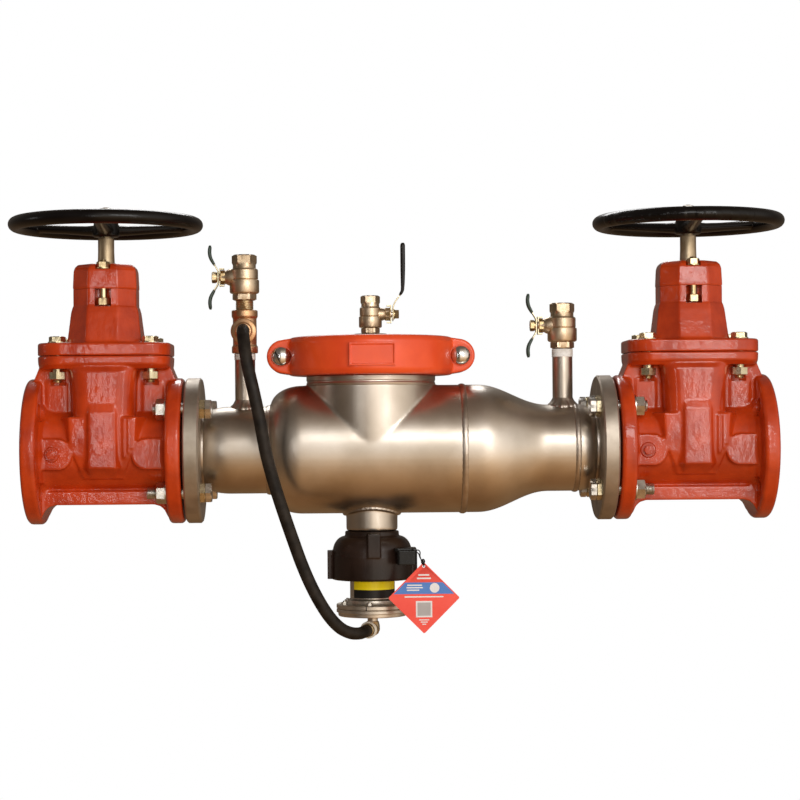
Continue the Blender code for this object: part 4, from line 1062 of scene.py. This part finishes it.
def test_cock(name, x, bottom_z, scale, way, lever):
    """A ball valve on a riser: a cast body with hexagon ends and ridges round its middle."""
    body_r, top_r = 19.4 * scale, 18.0 * scale
    hex_low, hex_high, bore = 27.4 * scale, 28.6 * scale, 9.0 * scale
    height = 50.0 if lever else 60.0
    stem_z = bottom_z + height * 0.508
    boss_end = 28 if lever else 33
    low_r, high_r = hex_low / 2 * HEX_CORNER, hex_high / 2 * HEX_CORNER
    neck_r = hex_high / 2 * 1.06
    at = (x, 0, stem_z)

    def along_x(label, start, end, radius):
        """A rod from the valve's middle towards its handle."""
        return rod(label, (x + way * start, 0, stem_z), (x + way * end, 0, stem_z), radius)

    outside = (
        (hex_low / 2 * 1.08, 0.145), (body_r - 2.4, 0.148), (body_r - 0.6, 0.165), (body_r, 0.19),
        (body_r, 0.43), (body_r - 0.3, 0.445), (top_r + 0.2, 0.452), (top_r - 0.5, 0.46),
        (top_r, 0.475), (top_r, 0.66), (top_r - 0.8, 0.685), (neck_r + 0.4, 0.695), (neck_r, 0.71),
        (neck_r, 0.78), (high_r * 0.985, 0.81, hex_high), (high_r, 0.83, hex_high),
        (high_r, 0.975, hex_high), (hex_high / 2 * 0.96, 1.0, hex_high), (bore + 2.5, 1.0),
    )
    profile = [
        (bore, bottom_z), (hex_low / 2 * 0.97, bottom_z), (low_r, bottom_z + 1.2, hex_low),
        (low_r, bottom_z + height * 0.13, hex_low),
        *[(radius, bottom_z + height * share, *across) for radius, share, *across in outside],
        (bore, bottom_z + height - 2.5), (bore, stem_z + 13 * scale),
        (13 * scale, stem_z + 11 * scale), (13 * scale, stem_z - 11 * scale),
        (bore, stem_z - 13 * scale),
    ]
    body = turned(f"{name}_casting", profile, (x, 0, 0), sharp=28)
    boss = turned("boss", (
        (0, body_r * 0.6), (12 * scale, body_r * 0.6), (10.6 * scale, body_r + 1),
        (9.4 * scale, body_r + 3.5), (8.6, body_r + 5), (8.2, boss_end - 1), (7.4, boss_end),
        (0, boss_end),
    ), at, FLOW * way, steps=64)
    boolean(body, "UNION", [boss])
    boolean(body, "DIFFERENCE", [along_x("boss_hole", 9, 50, 4.3)])
    dress(sharpen(body, 28), BRONZE, "root", f"{name}_body")

    ball_r = 12.4 * scale
    half_circle = curved((0, 0), ball_r, -90, 90, 24)[1:-1]
    ball = turned(f"{name}_sphere", [(0, -ball_r), *half_circle, (0, ball_r)], at)
    boolean(ball, "UNION", [along_x("spindle", 9, boss_end + 9, 3.9)])
    boolean(ball, "DIFFERENCE", [drill("way", x, 0, stem_z - 20, stem_z + 20, 7.5 * scale)])
    dress(sharpen(ball, 30), CHROME, f"{name}_turn", f"{name}_ball")

    hub = boss_end + GAP
    if lever:
        middle = ((10.5, 25), (13.6, 30), (14.6, 36), (15, 60), (15, 94))
        widths = ((5.4, 1.8), (6.2, 2.6), (6.8, 3.1), (6.9, 3.2), (6.8, 3.2))
        grips = [middle]
        strap = ((1.5, -9), (1.5, 2), (2.0, 10), (5, 17), (11.5, 26))
    else:
        middle = ((5.4, 15.5), (8.0, 20), (11.0, 26), (12.2, 33), (11.4, 42))
        widths = ((5.2, 1.6), (6.2, 2.1), (7, 2.3), (7, 2.3), (5.8, 2.1))
        grips = [middle, [(reach, -up) for reach, up in middle]]
        strap = ((7.4, -19), (4.4, -14), (1.6, -9), (1.2, -4), (1.2, 4), (1.6, 9), (4.4, 14),
                 (7.4, 19))

    def bar(label, line, sizes, squareness):
        line = [(hub + reach, up) for reach, up in line]
        return handle_bar(label, line, sizes, way, at, squareness)

    handle = gather(f"{name}_wing", [bar("grip", line, widths, 0.6) for line in grips])
    metal = BLACK_VINYL if lever else GREEN
    dress(sharpen(handle, 60), metal, f"{name}_turn", f"{name}_handle")
    plate = bar(f"{name}_strap", strap, [(5.6, 0.9)] * 3, 0.3)
    boolean(plate, "DIFFERENCE", [along_x("handle_hole", 20, 60, 4.2)])
    dress(sharpen(plate, 40), YELLOW_ZINC, f"{name}_turn")
    nut = hex_nut(f"{name}_nut", 11 if lever else 13, hub + 2.4, hub + 9.4, 4.0, at, FLOW * way,
                  washer=6.8)
    dress(nut, BRASS, f"{name}_turn")
    packing = hex_nut(f"{name}_packing_nut", 16.5, boss_end - 8.0, boss_end - 1.8, 8.3, at,
                      FLOW * way)
    dress(packing, BRASS, "root")
    stop = gather(f"{name}_stop", [
        block("low_stop", (boss_end - 6.5, -4.5, -11.8), (boss_end - 0.4, 4.5, -10.2)),
        block("high_stop", (boss_end - 6.5, -4.5, 10.2), (boss_end - 0.4, 4.5, 11.8)),
        block("stop_plate", (boss_end - 1.5, -6.5, -11.8), (boss_end - 0.3, 6.5, 11.8)),
    ])
    stop.data.transform(Matrix.Translation(Vector(at) * MM) @ Matrix.Scale(way, 4, FLOW))
    dress(stop, YELLOW_ZINC, "root")


def bronze_tee():
    x, low, high, port_z = LEFT_RISER_X, 127.4, 184.0, 155.2
    at = (x, 0, 0)
    profile = ((0, low), (16.6, low), (17.2, low + 0.8), (17.2, low + 8), (16.6, low + 9.5),
               (15.6, low + 10.5), (15.6, port_z - 17), (15.8, port_z), (15.6, port_z + 14),
               (15.6, high - 11), (16.6, high - 9.5), (17.2, high - 8), (17.2, high - 0.8),
               (16.6, high), (0, high))
    port = ((0, 0), (14.6, 0), (14.6, 22), (15.8, 24), (17, 25.5), (17, 32.6), (16.2, 33.6),
            (11.4, 35.4), (10.2, 36.4), (10.2, 38), (0, 38))
    barrel = turned("barrel", profile, at)
    boolean(barrel, "UNION", [turned("port", port, (x, 0, port_z), FRONT)])
    tee = cast("tee_barrel", [barrel], 0.8, 3, cutters=[
        drill("bore", x, 0, low - 5, high + 5, RISER_BORE_R),
        rod("port_bore", (x, 0, port_z), (x, -60, port_z), 6),
    ])
    dress(tee, COPPER, "root", "tee")
    core = ((11, high + GAP), (11.2, 196.5), (9, 196.7), (9, high + GAP))
    nipple = gather("brass_nipple", [
        turned("core", core, at),
        threaded("thread", 11.8, 0.7, 2.2, high + GAP, 196.6, at, steps=48),
    ])
    dress(sharpen(nipple, 50), BRASS, "root", "nipple")

    def ragged(angle, index):
        """The tape's uneven winding."""
        return 0.25 * noise.noise(Vector((math.cos(angle) * 2, math.sin(angle) * 2, index)))

    for name, riser_x, low_z, high_z in (("left_tape", LEFT_RISER_X, 119.0, 126.6),
                                         ("right_tape", RIGHT_RISER_X, 120.0, 130.2)):
        rows = [(13.9 + 0.22 * math.sin(row * 1.9), low_z + (high_z - low_z) * row / 12)
                for row in range(13)]
        profile = [(13.35, low_z), *rows, (13.35, high_z)]
        tape = turned(name, profile, (riser_x, 0, 0), ripple=ragged, sharp=60)
        dress(tape, TAPE, "root")


# ---------------------------------------------------------------- relief valve


RELIEF_R, RELIEF_FLANGE_R = 29.5, 47.5
BELL_TOP_Z = -107.3
LABEL_ARC = (-145.0039, -15.5155)
ELBOW_WAY = Vector((-0.36, -0.93, -0.05)).normalized()


def relief_valve():
    at = (BRANCH_X, 0, 0)
    outer = [(28, BELL_TOP_Z), (34.6, BELL_TOP_Z), (35.5, BELL_TOP_Z - 1.1), (35.5, -114)]
    outer += arc((35.5, -114), (52.2, -136), 12, True)
    outer += [(53, -140), (53, -169), (52, -171), (28, -171)]
    parts = [
        turned("shell", outer, at),
        block("left_ear", (BRANCH_X - 59, -10, -170), (BRANCH_X - 48, 10, -133)),
        block("right_ear", (BRANCH_X + 48, -10, -170), (BRANCH_X + 59, 10, -133)),
        block("rib", (BRANCH_X - 6.5, -54, -140), (BRANCH_X + 9.5, -34, -110)),
    ]
    inside = ((0, -180), (48, -180), (48, -140), (31, -124), (31, -100), (0, -100))
    bell = cast("bell_cast", parts, 1.0, 4, cutters=[
        turned("room", inside, at),
        block("level", (BRANCH_X - 90, -90, BELL_TOP_Z), (BRANCH_X + 90, 90, -90)),
    ])
    dress(bell, BELL, "root", "relief_bell")

    body_profile = [
        (RELIEF_R - 1, -130), (20, -130), (20, -136), (25, -136), (25, -209),
        (RELIEF_FLANGE_R - 1.2, -209), (RELIEF_FLANGE_R, -208), (RELIEF_FLANGE_R, -204.2),
        (RELIEF_FLANGE_R - 1.2, -203), (RELIEF_R + 6, -203), (RELIEF_R + 4.6, -201.6),
        (RELIEF_R + 3.4, -198), (RELIEF_R + 1, -196.6), (RELIEF_R, -195.6), (RELIEF_R, -131),
    ]
    body = turned("relief_cylinder", body_profile, at, steps=128, sharp=28)
    dress(body, ALUMINIUM, "root", "relief_body")
    cover_profile = [
        (0, -209.3), (RELIEF_FLANGE_R - 0.8, -209.3), (RELIEF_FLANGE_R, -210.2),
        (RELIEF_FLANGE_R, -213.6), (RELIEF_FLANGE_R - 2, -214.6), (RELIEF_FLANGE_R - 2.4, -218),
        (RELIEF_FLANGE_R - 3.4, -219), (14, -219), (9.6, -219.4), (7.4, -220.6), (6.8, -222),
        (6.8, -226.4), (0, -226.4),
    ]
    cover = turned("relief_lid", cover_profile, at, steps=128, sharp=28)
    dress(cover, ALUMINIUM, "root", "relief_cover")
    for n, (x, y) in enumerate(curved((BRANCH_X, 0), 40.5, 24, 324, 5)):
        screw = gather(f"relief_screw_{n}", [
            hex_head("head", 7.0, -202.9, -199.6, (x, y, 0)),
            turned("end", ((0, -200), (2.0, -200), (2.0, -198), (0, -197.6)), (x, y, 0), steps=24),
        ])
        dress(sharpen(screw, 28), ZINC, "root")
    # The seam on the relief flange is a thin near-black block, painted shade for the gap there
    seam = block("relief_seam", (BRANCH_X - 9.4, -RELIEF_FLANGE_R + 0.5, -208.8),
                 (BRANCH_X - 8.2, -RELIEF_FLANGE_R + 3, -203.4))
    dress(seam, HOLLOW_SHADE, "root")

    piston = turned("relief_plunger_head", (
        (0, -136.3), (23.6, -136.3), (24.6, -137.3), (24.6, -140), (23.4, -140.6), (23.4, -142.4),
        (24.6, -143), (24.6, -146), (6, -146), (6, -195.4), (5.4, -196), (0, -196),
    ), at)
    dress(piston, BRONZE, "relief_plunger", "relief_piston")

    outline = curved((0, 0), RELIEF_R + 0.35, *LABEL_ARC, 40)
    outline += curved((0, 0), RELIEF_R - 0.4, *LABEL_ARC, 40)[::-1]
    for name, metal, low, high in (("label_strip", BLACK_VINYL, -194.5, -183.6),
                                   ("label_face", YELLOW, -183.6, -169)):
        dress(extruded(name, outline, low, high, at), metal, "root")

    centre = Vector((BRANCH_X, 0, -236))
    cup = ((0, -9.5), (4, -9.4), (7.4, -7), (9.5, -2), (9.3, 4), (8, 9.3), (0, 9.3))
    port = ((0, -4), (8.6, -4), (8.8, 8), (10.4, 9.5), (10.4, 12.4), (8.2, 12.4), (8.2, 20), (0, 20))
    parts = [turned("cup", cup, centre), turned("port", port, centre, ELBOW_WAY)]
    dress(cast("elbow_cast", parts, 0.6, 3), BRASS, "root", "drain_elbow")
    ring = ((8.6, 12.7), (10.6, 12.7), (11.1, 13.4), (11.1, 17.6), (10.6, 18.4), (9.4, 18.4),
            (8.6, 17.2))
    # The elbow's ring carries a painted highlight: its pale cream colour stands for light on brass
    dress(turned("elbow_ring", ring, centre, ELBOW_WAY), RING_HIGHLIGHT_PAINT, "root")

    box = cast("sensor_box", [
        extruded("case", rounded(24, 36, 2.5, 4), -149, -130.5, (491.5, -46, 0)),
        extruded("lip", rounded(28, 33, 3.5, 6), -132.5, -127.5, (490.5, -44.5, 0)),
        block("wall", (499.5, -62, -149), (504.5, -30, -128)),
    ], 0.6, 4)
    dress(box, SENSOR, "root", "flow_sensor")


# ---------------------------------------------------------------- tag

TAG_X, TAG_HOLE_Z, TAG_SIDE = 513.3, -150.6, 64.5


def tag():
    """A square card that hangs from one corner, with a band, bars and blank patches on it."""
    half = TAG_SIDE / math.sqrt(2)
    at = (TAG_X, 0, TAG_HOLE_Z + 5.0 - half)
    card = []
    for turn, (x, z) in zip((90, 180, 270, 360), ((0, 1), (-1, 0), (0, -1), (1, 0))):
        corner = (x * (half - 2.2), z * (half - 2.2))
        card += curved(corner, 2, turn - 45, turn + 45, 8)
    plate = extruded("tag_card_plate", card, 64.45, 65.0, at, FRONT)
    eye = rod("eye", (TAG_X, -80, TAG_HOLE_Z), (TAG_X, -50, TAG_HOLE_Z), 1.8)
    boolean(plate, "DIFFERENCE", [eye])
    dress(plate, TAG_RED, "tag_card", "tag")

    def print_on(name, outline, colour, level):
        dress(extruded(name, outline, 65.0, 65.0 + level, at, FRONT), colour, "tag_card")

    low, high, wide = 5.0, 20.0, half - 1.4
    band = [(high - wide, high), (low - wide, low), (wide - low, low), (wide - high, high)]
    print_on("tag_band", band, TAG_BLUE, 0.05)
    print_on("tag_spot", curved((13.8, 12.8), 6.2, 0, 360, 48)[:-1], TAG_WHITE, 0.09)
    for n, (x, z, width, thick) in enumerate((
        (-12, 15.6, 19, 1.6), (-12, 12.4, 21, 1.6), (-14, 9.2, 16, 1.6),
        (0, 28.6, 14, 1.9), (0, 24.2, 18, 1.9), (0, 0.6, 50, 1.6),
        (0, -29.0, 13, 1.3), (0, -31.8, 9, 1.3), (0, -34.6, 5, 1.3),
    )):
        bar = rectangle(x - width / 2, z, x + width / 2, z + thick)
        print_on(f"tag_bar_{n}", bar, TAG_WHITE, 0.09)
    print_on("tag_patch", rectangle(-10.5, -25, 10.5, -4), TAG_WHITE, 0.09)
    print_on("tag_patch_middle", rectangle(-8.5, -23, 8.5, -6), TAG_GREY, 0.12)


def tag_tie():
    """The thin black tie from the sensor's corner down to the tag's hole, with a knot."""
    tie = ((502.5, -61.5, -131), (506, -64.5, -129.5), (508.6, -66.6, -132), (508.4, -67.2, -137),
           (510, -67.6, -142), (512.4, -67.6, -146.5), (TAG_X, -66.6, TAG_HOLE_Z),
           (TAG_X + 0.2, -63.6, TAG_HOLE_Z + 0.4), (TAG_X - 0.4, -62.6, -146), (509, -63.4, -140),
           (506.6, -63, -134), (503.5, -61.8, -132.5))
    knot = ((510, -68.6, -143.5), (512.6, -69.4, -141.6), (514, -68, -144.4), (511.8, -66.4, -147),
            (510.6, -67.6, -144), (513, -69.6, -145.4), (513.6, -68.4, -148.4))
    dress(tube("tag_tie", smooth_route(tie, 1.5), 0.75, sides=3), BLACK_VINYL, "root")
    dress(tube("tag_tie_knot", smooth_route(knot, 1.0), 1.15, sides=3), BLACK_VINYL, "root")


# ---------------------------------------------------------------- light


def make_world():
    """White behind the object, and in its reflections a bright sky over a warm, dim floor."""
    world = bpy.data.worlds.new("studio")
    bpy.context.scene.world = world
    world.use_nodes = True
    tree = world.node_tree
    tree.nodes.clear()
    place = add_node(tree, "TexCoord", {})
    split = add_node(tree, "SeparateXYZ", {"Vector": place.outputs["Generated"]})
    height = add_node(tree, "MapRange", {"From Min": -1, "Value": split.outputs["Z"]})

    def by_height(steps):
        """Colours for heights from -1, straight down, to 1, straight up."""
        steps = [((z + 1) / 2, colour) for z, colour in steps]
        return ramp(tree, height.outputs["Result"], steps)

    def fade(axis, start, end, least):
        """Rises smoothly from least to 1 while the direction's part along the axis goes start to end."""
        inputs = {"From Min": start, "From Max": end, "To Min": least, "Value": split.outputs[axis]}
        return add_node(tree, "MapRange", inputs, interpolation_type="SMOOTHSTEP").outputs["Result"]

    def product(one, other):
        return add_node(tree, "Math", {0: one, 1: other}, operation="MULTIPLY").outputs["Value"]

    lit = by_height(((-1, (0.27, 0.13, 0.05)), (1, (0.16, 0.11, 0.08)), (-0.88, (0.45, 0.24, 0.10)),
                     (-0.7, (0.62, 0.36, 0.17)), (-0.4, (0.95, 0.67, 0.42)),
                     (-0.22, (1.40, 1.15, 0.88)), (-0.08, (1.48, 1.34, 1.17)),
                     (0.15, (1.36, 1.28, 1.18)), (0.45, (1.02, 0.94, 0.85)),
                     (0.65, (0.60, 0.50, 0.40)), (0.85, (0.26, 0.19, 0.14))))
    dim = by_height(((-1, (0.24, 0.115, 0.045)), (1, (0.12, 0.09, 0.07)), (-0.7, (0.26, 0.15, 0.07)),
                     (-0.3, (0.16, 0.105, 0.065)), (0, (0.12, 0.095, 0.075)),
                     (0.4, (0.17, 0.15, 0.13))))
    # The bright part faces the object's front from the right, and the rest of the room is dim
    right = product(fade("X", -0.20, 0.03, 0.0), fade("X", 1.0, 0.6, 0.6))
    share = product(fade("Y", 0.45, -0.35, 0.0), right)
    # The numbers are the mix's share and its two colours, whose names it has more than once
    room = add_node(tree, "Mix", {}, data_type="RGBA")
    feed(tree, room, {0: share, 6: dim, 7: lit})
    around = add_node(tree, "Background", {"Color": room.outputs[2]})
    behind = add_node(tree, "Background", {"Color": (1, 1, 1, 1)})
    ray = add_node(tree, "LightPath", {})
    mix = add_node(tree, "MixShader", {
        "Fac": ray.outputs["Is Camera Ray"], 1: around.outputs["Background"],
        2: behind.outputs["Background"],
    })
    add_node(tree, "OutputWorld", {"Surface": mix.outputs["Shader"]})


def softbox(name, at, aim, size, power, in_reflections=True):
    """A rectangular lamp; its places and its size are in metres."""
    data = bpy.data.lights.new(name, "AREA")
    data.shape = "RECTANGLE"
    data.size, data.size_y = size
    data.energy = power
    lamp = add_object(name, data)
    lamp.visible_glossy = in_reflections
    lamp.location = at
    lamp.rotation_euler = (Vector(aim) - Vector(at)).to_track_quat("-Z", "Y").to_euler()


def light_up():
    make_world()
    softbox("key", (0.80, -1.35, 0.58), (0.5, 0, 0.05), (0.8, 0.34), 5)
    softbox("right_strip", (1.13, -1.35, 0.17), (1.0, 0, 0.1), (0.04, 0.6), 0.9)
    softbox("left_strip", (-0.04, -1.35, 0.17), (0.0, 0, 0.1), (0.04, 0.6), 0.7)
    softbox("left", (-1.1, -0.15, 0.35), (0.3, 0, 0.05), (0.2, 0.3), 0.4)
    softbox("back", (0.3, 1.9, 1.7), (0.5, 0, 0), (1.2, 0.6), 16)
    softbox("fill", (0.7, -2.9, 0.0), (0.5, 0, 0), (0.8, 0.5), 15, in_reflections=False)


bpy.context.scene.view_settings.view_transform = "Standard"
place_camera()
light_up()
make_hose()

prototypes = {
    "valve_body": body_casting("body_cast"),
    "bonnet": bonnet_casting("bonnet_cast"),
    "gland": gland_casting("gland_cast"),
    "inlet_wheel": handwheel("smooth_wheel_cast", 0.0),
    "outlet_wheel": handwheel("bumpy_wheel_cast", 0.8),
}
shared_meshes = {name: made.data for name, made in prototypes.items()}
for prototype in prototypes.values():
    bpy.data.objects.remove(prototype)
make_valve("inlet", INLET_X, 1, shared_meshes)
make_valve("outlet", OUTLET_X, -1, shared_meshes)
steel_housing()
welds()
steel_cap()
clamp()
check_valve("first_check", 300.0, 53.2, 34.0, 37.5, 43.0)
check_valve("second_check", 576.0, 80.2, 40.0, 44.0, 50.0)
bronze_tee()
test_cock("inlet_cock", LEFT_RISER_X, 197.0, 1.0, -1, False)
test_cock("outlet_cock", RIGHT_RISER_X, 131.0, 1.0, -1, False)
test_cock("top_cock", BRANCH_X, 152.3, 0.78, 1, True)
relief_valve()
tag()
tag_tie()
